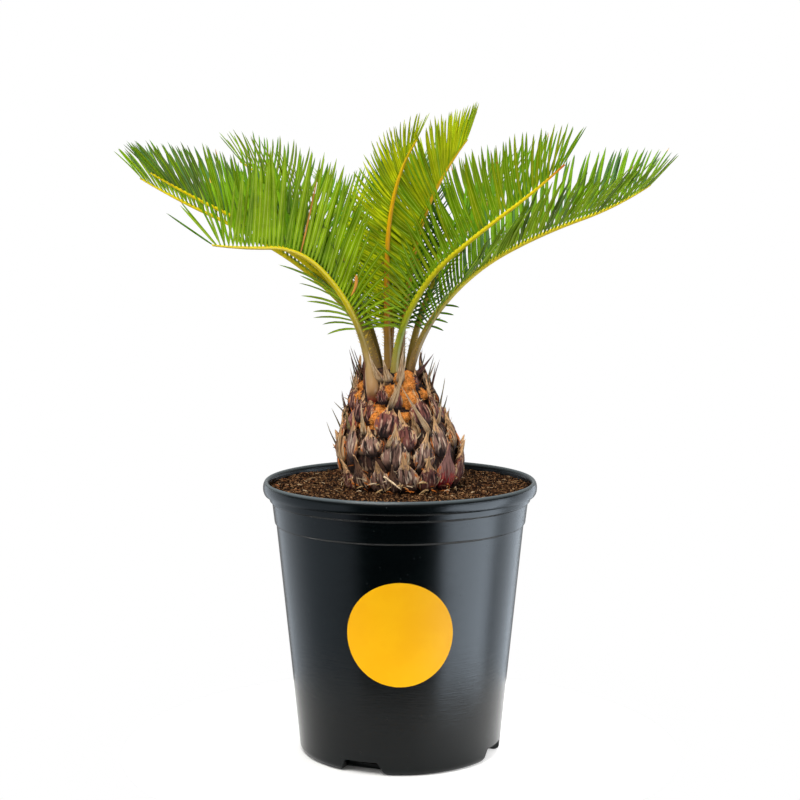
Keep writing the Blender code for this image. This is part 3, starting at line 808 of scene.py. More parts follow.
def buildLitter():  # fibres and chips of bark that lie on the mix
    rng = random.Random(soil["seed"])
    shoots = []
    for _ in range(soil["litter"]):
        turn = rng.uniform(0, 2 * math.pi)
        radius = math.sqrt(rng.uniform(soil["litterFrom"] ** 2, soil["litterTo"] ** 2))
        x, y = radius * math.cos(turn), radius * math.sin(turn)
        heading = rng.uniform(0, 2 * math.pi)
        way = Vector((math.cos(heading), math.sin(heading), rng.uniform(-0.05, 0.25))).normalized()
        thick = squared(Vector((0, 0, 1)), way)
        reach = rng.uniform(0.002, 0.008)
        bend = thick.cross(way) * (reach * rng.uniform(-0.6, 0.6)) - Vector((0, 0, 0.2 * reach))
        half = rng.uniform(0.0002, 0.0005) if rng.random() < 0.75 else rng.uniform(0.0007, 0.0013)
        root = Vector((x, y, soilHeight(x, y) + soil["litterLift"]))
        shoots.append(Shoot(root, way, thick, bend, reach, half, 0.0003, pick(rng, (3, 2, 2, 4)), 0))
    fibre = makeBlank("fibreBlank", ((0, 1, 1), (0.4, 0.9, 0.9), (0.8, 0.6, 0.6)),
                      ((-1, 0), (0, 1), (1, 0), (0, -1)))
    finishes = [crumbMaterial(name, colour, 0.3) for name, colour in soil["litterColours"]]
    litter = grow("soilLitter", shoots, fibre, finishes, parts=1, stir=0.1, seed=14, sharp=40)
    handOver(litter, "potting_mix")
    discard(fibre)


buildSoil()
buildLitter()
print("potting mix done")


# Fronds: each rib follows the rule that its solid follows, with finer leaflets in two rows

crown = {
    "level": 0.352, "gap": 0.0003, "ribSteps": 160, "petiole": 0.042,
    "ribWidths": ((0, 0.0078), (0.15, 0.0062), (0.5, 0.0046), (0.85, 0.003), (1, 0.0018)),
    "sweepRings": 72, "sunk": 0.033, "sunkSteps": 10, "sunkWidth": 0.0135, "sunkOut": 0.009,
    "sunkShare": 0.14, "halfWidth": 0.0022, "widest": 0.092, "depth": 0.0017,
    "widths": ((0, 0.5), (0.15, 0.75), (0.32, 1.0), (0.8, 0.9), (1.0, 0.45)),
    "reach": ((0, 0.38), (0.1, 0.58), (0.2, 0.76), (0.35, 0.92), (0.5, 1.0), (0.75, 0.88), (0.9, 0.72),
              (1.0, 0.54)),
    "lean": ((0, 85), (0.08, 72), (0.2, 60), (0.35, 66), (0.5, 72), (0.7, 64), (0.9, 48), (1.0, 24)),
    "upright": ((0, 0), (0.2, -0.5), (0.35, -0.3), (0.5, 0.3), (0.7, 1), (0.93, 1.7), (1, 0)), "droop": 0.5,
    "waist": 0.45, "keelShare": 0.5,
    "keelJitter": 2.2, "leanJitter": 1.8, "twist": 12, "reachJitter": 0.035, "dryShare": 0.03,
    "longest": 1.04, "clearance": 0.0032, "detours": (0, 6, -6, 12, -12), "shorter": (1.0, 0.8, 0.6, 0.42),
    "thorns": 14, "thornReach": 0.0034, "thornHalf": 0.0006, "thornDepth": 0.0005, "seed": 7,
}

# Leaf colours: the upper side, the under side and its midrib
leafColours = {
    "fresh": ((0.165, 0.330, 0.004), (0.290, 0.480, 0.005), (0.520, 0.680, 0.080)),
    "mid": ((0.095, 0.230, 0.004), (0.190, 0.360, 0.004), (0.400, 0.560, 0.045)),
    "deep": ((0.040, 0.130, 0.006), (0.110, 0.240, 0.004), (0.280, 0.420, 0.040)),
    "bluish": ((0.085, 0.185, 0.048), (0.150, 0.250, 0.036), (0.300, 0.420, 0.100)),
    "olive": ((0.150, 0.235, 0.003), (0.250, 0.360, 0.003), (0.480, 0.540, 0.035)),
    "lime": ((0.360, 0.450, 0.003), (0.470, 0.560, 0.003), (0.720, 0.710, 0.025)),
    "dead": ((0.700, 0.300, 0.050), (0.660, 0.280, 0.050), (0.700, 0.380, 0.080)),
}

# Rib colours from the sunken foot to the end
ribColours = {
    "yellow": ((0.03, (0.36, 0.05, 0.05)), (0.07, (0.33, 0.17, 0.07)), (0.16, (0.31, 0.19, 0.075)),
               (0.29, (0.35, 0.26, 0.05)), (0.43, (0.85, 0.70, 0.004)), (1.0, (0.95, 0.74, 0.002))),
    "orange": ((0.0, (0.28, 0.17, 0.06)), (0.25, (0.22, 0.12, 0.02)), (0.4, (0.50, 0.20, 0.008)),
               (0.7, (0.80, 0.40, 0.003)), (1.0, (0.78, 0.55, 0.003))),
    "olive": ((0.0, (0.30, 0.18, 0.06)), (0.18, (0.29, 0.24, 0.05)), (0.27, (0.22, 0.28, 0.012)),
              (0.4, (0.56, 0.54, 0.006)), (0.9, (0.90, 0.70, 0.003)), (1.0, (0.72, 0.16, 0.02))),
    "brown": ((0.0, (0.15, 0.09, 0.03)), (0.3, (0.24, 0.17, 0.022)), (0.6, (0.54, 0.46, 0.01)),
              (1.0, (0.66, 0.56, 0.01))),
}

# Each frond as its solid has it, then its pairs of leaflets, three leaf colours and its rib's colour
Frond = namedtuple(
    "Frond", "name foot heading turn rises length rolls keels leaflet droop curl upright pairs tints rib")

fronds = [Frond(*shape) for shape in (
    ("near_left", (-0.0275, -0.008), 215, 0, (82, 61, 41, 0, 7), 0.230, (38, 0), (14, 72),
     0.092, 0.6, 0.08, 24, 46, ("fresh", "fresh", "mid"), "yellow"),
    ("right", (0.0085, 0.002), 4, 0, (77, 50, 28, 19, 33), 0.295, (10, 14), (18, 48),
     0.076, 0.3, 0.2, 0, 68, ("fresh", "mid", "bluish"), "yellow"),
    ("near_right", (-0.0055, -0.016), 335, 0, (88, 61, 38, 35, 41), 0.262, (-6, 0), (20, 60),
     0.071, 0.4, 0.2, 0, 50, ("mid", "olive", "mid"), "olive"),
    ("left", (-0.0205, 0.013), 172, 0, (78, 46, 31, 24, 30), 0.298, (0, 0), (18, 60),
     0.070, 0.2, 0.2, -6, 58, ("fresh", "bluish", "mid"), "yellow"),
    ("left_upper", (-0.0195, 0.003), 188, 0, (82, 50, 35, 26, 31), 0.288, (0, 0), (18, 60),
     0.070, 0.2, 0.2, -10, 56, ("mid", "bluish", "bluish"), "yellow"),
    ("inner_front", (-0.0105, -0.006), 305, 15, (94, 91, 88, 72, 50), 0.222, (0, 0), (22, 50),
     0.050, 0.1, 0.4, -12, 70, ("olive", "lime", "lime"), "orange"),
    ("inner_right", (-0.001, 0.0125), 356, 0, (87, 83, 78, 64, 52), 0.228, (0, 0), (40, 64),
     0.064, 0.1, 0.2, -14, 70, ("lime", "fresh", "olive"), "orange"),
    ("back_left", (-0.018, 0.022), 148, 0, (80, 62, 48, 38, 28), 0.262, (0, 0), (18, 56),
     0.062, 0.2, 0.5, 6, 52, ("olive", "fresh", "mid"), "brown"),
    ("back_right", (0.008, 0.014), 50, 0, (80, 60, 44, 32, 30), 0.246, (0, 0), (18, 56),
     0.070, 0.2, 0.3, 0, 50, ("olive", "mid", "fresh"), "brown"),
    ("back", (-0.009, 0.025), 108, 0, (80, 56, 36, 22, 16), 0.250, (0, 0), (18, 54),
     0.072, 0.2, 0.2, 0, 52, ("fresh", "mid", "lime"), "yellow"),
    ("far_back", (0.001, 0.022), 84, 0, (82, 64, 46, 34, 28), 0.254, (0, 0), (18, 56),
     0.072, 0.2, 0.2, 0, 52, ("bluish", "deep", "mid"), "brown"),
    ("inner_back", (-0.010, 0.008), 66, 0, (88, 78, 66, 50, 40), 0.206, (0, 0), (22, 48),
     0.060, 0.1, 0.3, -12, 46, ("mid", "olive", "fresh"), "orange"),
)]


# A foot that shows on the trunk's front: how low, how far over and how wide
frontFeet = {"near_left": (0.028, (0.0015, -0.0218), 0.0125)}
# The share of that from its lowest point, at -1, through the rib's start, at 0, and on
frontShares = (
    (-1, 0.4), (-0.7, 0.82), (-0.43, 1), (-0.2, 0.9), (0.1, 0.62), (0.4, 0.3), (0.8, 0.06), (1.1, 0))

# Leaflets beside the rule: a dead one that curls down, and small ones at the right frond's foot
strayLeaflets = (  # root, way, bend, reach, half width, tint
    ((-0.0395, -0.038, 0.446), (0.2, 0, -1), (-0.0090, 0, 0.001), 0.021, 0.0015, 0),
    ((0.041, 0.003, 0.416), (0.92, -0.35, 0.10), (0.001, 0, -0.003), 0.0135, 0.0010, 1),
    ((0.036, 0.003, 0.409), (0.92, -0.35, 0.02), (0.001, 0, -0.002), 0.0135, 0.0010, 1),
    ((0.032, 0.003, 0.403), (0.92, -0.35, 0.00), (0.001, 0, -0.003), 0.0120, 0.0010, 1),
    ((0.028, 0.002, 0.397), (0.92, -0.35, -0.10), (0.001, 0, -0.003), 0.0120, 0.0010, 1),
)
deadLeaflets = {"near_left": ((24, -1),)}  # those of the rule that have dried out, by number and hand
deadWidth, deadSize = 0.5, 0.75


class Rib:  # a frond's midrib, by the rule that its solid follows
    def __init__(self, frond):
        self.frond = frond
        step = frond.length / crown["ribSteps"]
        spot = Vector((*frond.foot, crown["level"] + crown["gap"]))
        self.spots = []
        for number in range(crown["ribSteps"] + 1):
            self.spots.append(spot.copy())
            spot = spot + self.wayOn(number / crown["ribSteps"]) * step

    def turn(self, t):
        return math.radians(self.frond.heading + self.frond.turn * t)

    def wayOn(self, t):
        rise = math.radians(along([(number / 4, rise) for number, rise in enumerate(self.frond.rises)], t))
        level = math.cos(rise)
        return Vector((level * math.cos(self.turn(t)), level * math.sin(self.turn(t)), math.sin(rise)))

    def at(self, t):  # the spot, the way on, the right-hand side and the upper side
        number = min(int(t * crown["ribSteps"]), crown["ribSteps"] - 1)
        spot = self.spots[number].lerp(self.spots[number + 1], t * crown["ribSteps"] - number)
        on = self.wayOn(t)
        start, end = self.frond.rolls
        roll = Matrix.Rotation(math.radians(start + (end - start) * t), 3, on)
        side = roll @ Vector((math.sin(self.turn(t)), -math.cos(self.turn(t)), 0))
        return spot, on, side, side.cross(on)

    def path(self):  # rows of spot, upper side, half width and place along, from the sunken foot on
        spot, on, _, up = self.at(0)
        out = Vector((spot.x - trunk["axisTop"][0], spot.y - trunk["axisTop"][1], 0)).normalized()
        sunk, over, wide = crown["sunk"], out * crown["sunkOut"], crown["sunkWidth"]
        shown = self.frond.name in frontFeet
        if shown:
            sunk, over, wide = frontFeet[self.frond.name]
            over = Vector((*over, 0))
        rows = []
        share, narrow = crown["sunkShare"], along(crown["ribWidths"], 0)
        for step in range(crown["sunkSteps"]):
            deep = 1 - step / crown["sunkSteps"]
            aside = along(frontShares, -deep) if shown else deep ** 1.6
            width = narrow + (wide - narrow) * aside
            rows.append((spot - on * (sunk * deep) + over * aside, up, width / 2, share * (1 - deep)))
        for step in range(crown["sweepRings"] + 1):
            t = step / crown["sweepRings"]
            spot, on, _, up = self.at(t)
            aside = along(frontShares, t * self.frond.length / sunk) if shown else 0.0
            width = along(crown["ribWidths"], t)
            width += (wide - width) * aside
            rows.append((spot + over * aside, up, width / 2, share + (1 - share) * t))
        return rows


def makeSweepTree():
    tree, given, result = newTree("sweepRibs", "GeometryNodeTree", [
        ("Geometry", "Geometry", None), ("Section", "Object", None), ("Material", "Material", None),
    ], [("Geometry", "Geometry")])
    path = addNode(tree, "GeometryNodeMeshToCurve", {"Mesh": given["Geometry"]})
    path = addNode(tree, "GeometryNodeSetCurveNormal", {
        "Curve": path, "Normal": named(tree, "up")}, mode="FREE")
    size = named(tree, "size", "FLOAT")
    path = addNode(tree, "GeometryNodeSetCurveRadius", {"Curve": path, "Radius": size})
    section = addNode(tree, "GeometryNodeObjectInfo", {"Object": given["Section"]}).outputs["Geometry"]
    section = addNode(tree, "GeometryNodeMeshToCurve", {"Mesh": section})
    swept = addNode(tree, "GeometryNodeCurveToMesh", {
        "Curve": path, "Profile Curve": section, "Fill Caps": True})
    if "Scale" in swept.inputs:
        tree.links.new(socketOf(size.outputs), swept.inputs["Scale"])
    swept = addNode(tree, "GeometryNodeRealizeInstances", {"Geometry": swept})
    swept = addNode(tree, "GeometryNodeSetMaterial", {"Geometry": swept, "Material": given["Material"]})
    tree.links.new(socketOf(swept.outputs), result["Geometry"])
    return tree


sweepTree = makeSweepTree()


def makeSection(name, points):  # a closed outline for sweeps, X towards the upper side
    mesh = bpy.data.meshes.new(name)
    count = len(points)
    mesh.from_pydata([(x, y, 0) for x, y in points], [(i, (i + 1) % count) for i in range(count)], [])
    return addObject(name, mesh)


def sweep(name, rows, section, finish, sharp=60):
    mesh = bpy.data.meshes.new(name)
    mesh.from_pydata([row[0] for row in rows], [(i, i + 1) for i in range(len(rows) - 1)], [])
    _, ups, sizes, places = zip(*rows)
    ups = [number for up in ups for number in up]
    mesh.attributes.new("up", "FLOAT_VECTOR", "POINT").data.foreach_set("vector", ups)
    mesh.attributes.new("size", "FLOAT", "POINT").data.foreach_set("value", sizes)
    mesh.attributes.new("along", "FLOAT", "POINT").data.foreach_set("value", places)
    piece = useTree(addObject(name, mesh), sweepTree, {"Section": section, "Material": finish})
    bm = bmesh.new()
    bm.from_mesh(piece.data)
    bmesh.ops.recalc_face_normals(bm, faces=bm.faces)
    bm.to_mesh(piece.data)
    bm.free()
    smooth(piece.data, sharp)
    return piece


def ribMaterial(name, stations):
    made, tree, shader = startMaterial(name + "Rib", roughness=0.4, specular=0.2)
    where = addNode(tree, "ShaderNodeAttribute", attribute_name="along")
    ramp = tree.nodes.new("ShaderNodeValToRGB")
    tree.links.new(where.outputs["Fac"], ramp.inputs["Fac"])
    while len(ramp.color_ramp.elements) < len(stations):
        ramp.color_ramp.elements.new(0.5)
    for element, (spot, colour) in zip(ramp.color_ramp.elements, stations):
        element.position = spot
        element.color = (*colour, 1)
    worn = mottle(tree, place(tree), stretch=(1, 1, 0.5), scale=260.0, detail=3.0, low=0.5, high=0.75)
    base = blendColour(tree, maths(tree, "MULTIPLY", worn.outputs["Mask"], 0.15), ramp, (0.30, 0.14, 0.02))
    wire(tree, shader, base, None, worn.outputs["Mask"], 0.0002, 0.5)
    return made


def leafMaterial(name, colour, roughness, specular=0.03):
    made, tree, shader = startMaterial(name, roughness=roughness, specular=specular)
    where = place(tree)
    tone = mottle(tree, where, first=timesColour(colour, 0.78), second=timesColour(colour, 1.22),
                  scale=46.0, detail=3.0, low=0.3, high=0.7)
    rust = groupNode(tree, "flecks", {"Vector": where, "Scale": 190.0, "Size": 0.3, "Share": 0.012})
    spotted = blendColour(tree, rust, tone, (0.45, 0.13, 0.02))
    grain = mottle(tree, where, scale=700.0, detail=1.0, low=0.3, high=0.7)
    wire(tree, shader, spotted, None, grain.outputs["Mask"], 0.00006, 0.5)
    return made


def leafFinishes():
    made = {}
    for name, (upper, under, midrib) in leafColours.items():
        made[name] = (leafMaterial(name + "LeafTop", upper, 0.4, 0.08),
                      leafMaterial(name + "LeafUnder", under, 0.5),
                      leafMaterial(name + "Midrib", midrib, 0.5))
    return made


def ribTrees(ribs):  # for each frond, the places of all the other ribs
    trees = {}
    for rib in ribs:
        others = [spot for other in ribs if other is not rib for spot in other.spots[::4]]
        tree = kdtree.KDTree(len(others))
        for number, spot in enumerate(others):
            tree.insert(spot, number)
        tree.balance()
        trees[rib.frond.name] = tree
    return trees


def leafletAt(rib, leafy, hand, keelOff, leanOff, twist, scale):
    frond = rib.frond
    petiole = crown["petiole"] / frond.length
    t = petiole + (1 - petiole) * leafy
    spot, on, side, up = rib.at(t)
    flat, steep = frond.keels
    keel = math.radians(flat + (steep - flat) * min(1.0, leafy / crown["keelShare"]) + keelOff)
    upright = frond.upright * along(crown["upright"], leafy)
    lean = math.radians(along(crown["lean"], leafy) + upright + leanOff)
    out = side * (hand * math.cos(keel)) + up * math.sin(keel)
    way = on * math.cos(lean) + out * math.sin(lean)
    ahead = squared(on, way)
    thick = (up - way * up.dot(way) - ahead * up.dot(ahead)).normalized()
    thick = Matrix.Rotation(math.radians(twist), 3, way) @ thick
    reach = frond.leaflet * along(crown["reach"], leafy) * scale
    droop = Vector((0, 0, -frond.droop * max(0.0, 1 - leafy / crown["droop"])))
    onward = (way + on * frond.curl + droop).normalized()
    bend = (onward - way) * (reach * (1 - crown["waist"]))
    width = along(crown["ribWidths"], t) / 2
    root = spot + side * (hand * width * 0.7) + up * (width * 0.35)
    return root, way, thick, bend, reach


def clearOf(tree, root, way, bend, reach):
    return all(tree.find(root + way * (reach * x) + bend * (x * x))[2] > crown["clearance"]
               for x in (0.2, 0.35, 0.5, 0.65, 0.8, 0.95))


def leafletShoots(rib, tree, rng):
    shoots = []
    pairs = rib.frond.pairs
    slender = crown["halfWidth"] * (rib.frond.leaflet / crown["widest"])
    tries = [(shorter, detour) for shorter in crown["shorter"] for detour in crown["detours"]]
    for number in range(pairs):
        for hand in (-1, 1):
            leafy = (number + 0.5 + 0.25 * hand) / pairs
            keelOff = rng.gauss(0, crown["keelJitter"])
            leanOff = rng.gauss(0, crown["leanJitter"])
            twist = rng.uniform(-crown["twist"], crown["twist"])
            size = 1 + rng.gauss(0, crown["reachJitter"])
            tint = pick(rng, (5, 3, 2))
            dead = (number, hand) in deadLeaflets.get(rib.frond.name, ())
            if dead:
                tint, size = 3, deadSize
            dry = int(rng.random() < crown["dryShare"])
            for shorter, detour in tries:
                scale = min(size * shorter, crown["longest"])
                root, way, thick, bend, reach = leafletAt(
                    rib, leafy, hand, keelOff + detour, leanOff, twist, scale)
                if clearOf(tree, root, way, bend, reach):
                    half = slender * along(crown["widths"], leafy) * (deadWidth if dead else 1)
                    shoots.append(Shoot(root, way, thick, bend, reach, half, crown["depth"], tint, dry))
                    break
    return shoots


def thornShoots(rib, rng):
    shoots = []
    petiole = crown["petiole"] / rib.frond.length
    for number in range(crown["thorns"]):
        for hand in (-1, 1):
            t = petiole * (number + rng.uniform(0.1, 0.9)) / crown["thorns"]
            spot, on, side, up = rib.at(t)
            width = along(crown["ribWidths"], t) / 2
            out = (side * hand + up * 0.35).normalized()
            way = (out + on * rng.uniform(0.1, 0.6)).normalized()
            reach = crown["thornReach"] * rng.uniform(0.6, 1.2) * (0.7 + 0.6 * t / petiole)
            root = spot + side * (hand * width * 0.8) + up * (width * 0.2)
            shoots.append(Shoot(root, way, squared(on, way), on * (reach * 0.2), reach, crown["thornHalf"],
                                crown["thornDepth"], 0, 0))
    return shoots


def buildFronds():
    rng = random.Random(crown["seed"])
    turns = [math.radians(30 * side) for side in range(12)]
    section = makeSection("ribSection", [(min(0.8, 1.1 * math.cos(turn)), math.sin(turn)) for turn in turns])
    leaflet = makeBlank("leaflet", (
        (0, 0.3, 0.6), (0.04, 0.6, 0.9), (0.14, 0.92, 1), (0.35, 1, 1), (0.58, 0.97, 1), (0.78, 0.8, 0.9),
        (0.91, 0.48, 0.7)),
        ((-1, -0.3), (-0.42, 0.08), (0.42, 0.08), (1, -0.3), (0.17, -0.24), (-0.17, -0.24)),
        (0, 0, 0, 1, 2, 1), -0.15)
    thorn = makeBlank("thorn", ((0, 1, 1), (0.55, 0.5, 0.5)), ((-1, -0.5), (0, 1), (1, -0.5)))
    finishes = leafFinishes()
    ribFinish = {name: ribMaterial(name, stations) for name, stations in ribColours.items()}
    dryTip = leafMaterial("dryTip", (0.62, 0.36, 0.06), 0.6)
    ribs = [Rib(frond) for frond in fronds]
    trees = ribTrees(ribs)
    thorns = []
    for number, rib in enumerate(ribs):
        frond = rib.frond
        node = "frond_" + frond.name
        piece = sweep(frond.name + "_rib", rib.path(), section, ribFinish[frond.rib])
        handOver(piece, "frond_green", node)
        shoots = leafletShoots(rib, trees[frond.name], rng)
        used = [finish for tint in (*frond.tints, "dead") for finish in finishes[tint]]
        leaves = grow(frond.name + "_leaflets", shoots, leaflet, used, dryTip, parts=3, stir=0.05,
                      seed=20 + number, sharp=35)
        handOver(leaves, "frond_green", node)
        thorns += thornShoots(rib, rng)
    spines = grow("petioleThorns", thorns, thorn, [leafMaterial("thornYellow", (0.70, 0.46, 0.05), 0.5)])
    handOver(spines, "frond_green")
    strays = []
    for root, way, bend, reach, half, tint in strayLeaflets:
        way = Vector(way).normalized()
        thick = squared(Vector((0, -1, 0.3)), way)
        strays.append(Shoot(Vector(root), way, thick, Vector(bend), reach, half, crown["depth"], tint, 0))
    used = [finish for tint in ("dead", "mid") for finish in finishes[tint]]
    handOver(grow("strayLeaflets", strays, leaflet, used, parts=3, sharp=35), "frond_green")
    discard(section, leaflet, thorn)


# Trunk: a dark core with orange wool round the crown, then leaf bases and the dry points of old ones

trunk = {
    "foot": 0.2493, "top": 0.352, "axisFoot": (0.0025, 0, 0), "axisTop": (-0.009, 0.002, 0),
    "shape": ((0, 0.050), (0.12, 0.0535), (0.27, 0.0555), (0.5, 0.0495), (0.75, 0.037), (1.0, 0.0275)),
    "inset": 0.0035, "coreRings": 48, "coreSides": 120, "dome": 0.007, "domeRings": 8, "sunk": 0.003,
    "woolRise": 0.0016, "woolDensity": 900000, "woolSize": (0.0003, 0.0008),
    "clumps": (  # degrees, height, spread, rise
        (-97, 0.340, 0.0065, 0.007), (-113, 0.3175, 0.0096, 0.009), (-56, 0.346, 0.008, 0.007),
        (-61, 0.333, 0.0085, 0.008), (-77, 0.318, 0.0045, 0.008), (-158, 0.334, 0.0045, 0.007),
        (-158, 0.343, 0.0045, 0.006), (-26, 0.336, 0.005, 0.007), (-131, 0.310, 0.004, 0.008),
        (-46, 0.351, 0.008, 0.006), (-70, 0.351, 0.006, 0.005),
        (20, 0.334, 0.010, 0.006), (75, 0.330, 0.012, 0.007), (130, 0.335, 0.010, 0.006)),
    "columns": 14, "rows": 7, "scaleWide": 1.12, "scaleDeep": 0.0078, "scaleFlare": 0.0065, "spinyRow": 4,
    "scaleReach": (0.032, 0.044), "scaleTurn": 5, "scaleLean": 9, "scaleTwist": 16, "scaleSunk": 0.002,
    "front": (-174, -6), "coveredRows": 4, "coveredSunk": 0.0085, "shreds": 4, "footFibres": 130,
    "fibreDepth": 0.0003, "pointDepth": 0.0022, "seed": 31,
}

# Leaf bases in front: degrees round, height, reach, half width, lean to the right, flare and tint.
# The tints are the colours below: plum, grey, tan, crimson and dark, counted from 0.
frontScales = (
    (-84, 0.250, 0.042, 0.0118, 0, 0.006, 1), (-62, 0.250, 0.039, 0.0112, -6, 0.005, 0),
    (-41, 0.250, 0.044, 0.0112, 4, 0.007, 3), (-17, 0.250, 0.044, 0.0085, 6, 0.006, 0),
    (-131, 0.248, 0.036, 0.0105, -4, 0.006, 4), (-112, 0.249, 0.036, 0.0104, 6, 0.007, 1),
    (-152, 0.247, 0.032, 0.0100, -4, 0.005, 0), (-99, 0.247, 0.030, 0.0080, 2, 0.003, 4),
    (-96, 0.271, 0.044, 0.0128, 9, 0.008, 1), (-69, 0.2685, 0.042, 0.0115, 12, 0.008, 1),
    (-43, 0.281, 0.040, 0.0098, 3, 0.007, 1), (-12, 0.284, 0.040, 0.0075, 4, 0.006, 2),
    (-141, 0.276, 0.046, 0.0095, -2, 0.006, 1), (-117, 0.282, 0.030, 0.0100, -2, 0.004, 1),
    (-168, 0.268, 0.050, 0.0090, -4, 0.006, 2), (-84, 0.286, 0.042, 0.0132, 2, 0.005, 0),
    (-101, 0.299, 0.039, 0.0132, 12, 0.005, 0), (-54, 0.307, 0.042, 0.0100, -3, 0.005, 0),
    (-25, 0.310, 0.043, 0.0066, 3, 0.005, 0), (-123, 0.309, 0.032, 0.0074, -2, 0.004, 0),
    (-150, 0.300, 0.036, 0.0078, 4, 0.005, 3), (-66, 0.298, 0.026, 0.0045, -8, 0.006, 2),
    (-107, 0.329, 0.027, 0.0052, 0, 0.003, 0), (-84, 0.323, 0.028, 0.0054, 2, 0.004, 0),
    (-42, 0.340, 0.022, 0.0042, 10, 0.004, 0), (-164, 0.318, 0.034, 0.0060, -6, 0.005, 0),
    (-10, 0.308, 0.034, 0.0062, 4, 0.005, 1), (-97, 0.343, 0.022, 0.0040, -6, 0.002, 2),
)

# The same for those that stand further out, over the foot of the near left frond
coverScales = ((-133, 0.312, 0.031, 0.0070, 2, 0.003, 0), (-103, 0.3285, 0.024, 0.0052, -4, 0.002, 0))

# Leaf base colours: name, dark, main, pale, then its spine's, where that starts, and its rim's
scaleColours = (
    ("plumScale", (0.014, 0.005, 0.005), (0.220, 0.070, 0.056), (0.680, 0.420, 0.310)),
    ("greyScale", (0.020, 0.010, 0.008), (0.310, 0.170, 0.130), (0.880, 0.680, 0.520)),
    ("tanScale", (0.080, 0.032, 0.014), (0.460, 0.260, 0.115), (0.820, 0.600, 0.370)),
    ("crimsonScale", (0.200, 0.006, 0.014), (0.560, 0.016, 0.034), (0.620, 0.130, 0.090),
     (0.300, 0.140, 0.120), 0.22),
    ("darkScale", (0.008, 0.004, 0.003), (0.060, 0.026, 0.018), (0.420, 0.280, 0.180),
     (0.110, 0.055, 0.032), 0.5, (0.300, 0.080, 0.020)),
)
backColours = ("scaleBack", (0.010, 0.004, 0.003), (0.060, 0.022, 0.012), (0.300, 0.100, 0.030))
rimColours = ("scaleRim", (0.200, 0.090, 0.040), (0.460, 0.300, 0.160), (0.700, 0.560, 0.400))

# Dry points in front: degrees round, height, out, reach, lean to the right, half width and tint
dryPoints = (
    (180, 0.280, 0.000, 0.034, -33, 0.0030, 0), (180, 0.298, 0.001, 0.026, -22, 0.0028, 0),
    (180, 0.313, 0.001, 0.019, -41, 0.0022, 0), (180, 0.314, 0.001, 0.027, -18, 0.0026, 2),
    (180, 0.320, 0.000, 0.037, 2, 0.0028, 3), (180, 0.326, 0.000, 0.025, -4, 0.0026, 0),
    (180, 0.342, -0.004, 0.037, -27, 0.0026, 2), (176, 0.344, -0.004, 0.034, -21, 0.0024, 3),
    (172, 0.347, -0.004, 0.032, -20, 0.0026, 2), (-178, 0.331, -0.001, 0.034, -4, 0.0030, 0),
    (-175, 0.330, 0.001, 0.031, 0, 0.0028, 1), (-140, 0.340, 0.001, 0.033, 0, 0.0024, 2),
    (-104, 0.346, 0.003, 0.037, -30, 0.0030, 1), (-92, 0.347, 0.003, 0.024, -16, 0.0036, 1),
    (-74, 0.345, 0.003, 0.040, -1, 0.0032, 1), (-96, 0.323, 0.006, 0.058, 25, 0.0026, 1),
    (-53, 0.300, 0.006, 0.054, -33, 0.0024, 1), (-11, 0.318, 0.001, 0.031, 14, 0.0030, 0),
    (-38, 0.308, 0.004, 0.025, 12, 0.0028, 1), (-18, 0.338, 0.001, 0.035, 9, 0.0024, 3),
    (0, 0.330, 0.000, 0.037, 6, 0.0030, 2), (-26, 0.352, 0.000, 0.024, 44, 0.0040, 2),
    (-11, 0.352, 0.000, 0.026, 22, 0.0028, 3), (0, 0.305, 0.001, 0.018, 8, 0.0028, 3),
    (0, 0.288, 0.001, 0.018, -12, 0.0030, 1), (0, 0.284, 0.001, 0.009, 51, 0.0034, 1),
    (-101, 0.290, 0.005, 0.029, 28, 0.0018, 1), (-84, 0.276, 0.004, 0.013, 15, 0.0026, 1),
    (-68, 0.279, 0.004, 0.014, 73, 0.0016, 1), (-125, 0.300, 0.003, 0.030, -6, 0.0028, 1),
    (-150, 0.302, 0.002, 0.024, -8, 0.0028, 0),
)
pointColours = (  # name, dark, main, pale and its end's
    ("oliveDry", (0.130, 0.080, 0.030), (0.300, 0.230, 0.080), (0.500, 0.400, 0.200), (0.300, 0.240, 0.110)),
    ("paleDry", (0.400, 0.200, 0.080), (0.800, 0.560, 0.310), (0.900, 0.760, 0.560), (0.760, 0.560, 0.360)),
    ("redDry", (0.080, 0.022, 0.018), (0.280, 0.100, 0.060), (0.500, 0.300, 0.180), (0.180, 0.080, 0.060)),
    ("greyDry", (0.100, 0.074, 0.040), (0.260, 0.210, 0.110), (0.500, 0.430, 0.290), (0.300, 0.230, 0.150)),
)
pointEndsFrom = 0.6

woolColours = ((0.64, 0.24, 0.045), (0.72, 0.33, 0.095), (0.50, 0.15, 0.024))
shredColours = (("tanShred", (0.50, 0.32, 0.15)), ("rustShred", (0.52, 0.15, 0.03)),
                ("paleShred", (0.68, 0.52, 0.34)), ("brownShred", (0.12, 0.055, 0.03)))

# A leaf base's widths and depths from its foot to the end of its spine
scaleWidths = (
    (0, 0.45), (0.06, 0.62), (0.13, 0.8), (0.2, 0.93), (0.28, 1.0), (0.36, 0.99), (0.44, 0.9),
    (0.51, 0.74), (0.58, 0.55), (0.65, 0.38), (0.72, 0.26), (0.8, 0.17), (0.88, 0.11), (0.95, 0.06))
scaleDepths = ((0, 0.4), (0.2, 0.93), (0.3, 1.0), (0.5, 0.8), (0.72, 0.42), (1.0, 0.15))


def trunkSpot(t, degrees, out=0.0):
    axis = Vector(trunk["axisFoot"]).lerp(Vector(trunk["axisTop"]), t)
    radius = along(trunk["shape"], min(max(t, 0.0), 1.0)) + out
    turn = math.radians(degrees)
    height = trunk["foot"] + (trunk["top"] - trunk["foot"]) * t
    return Vector((axis.x + radius * math.cos(turn), axis.y + radius * math.sin(turn), height))


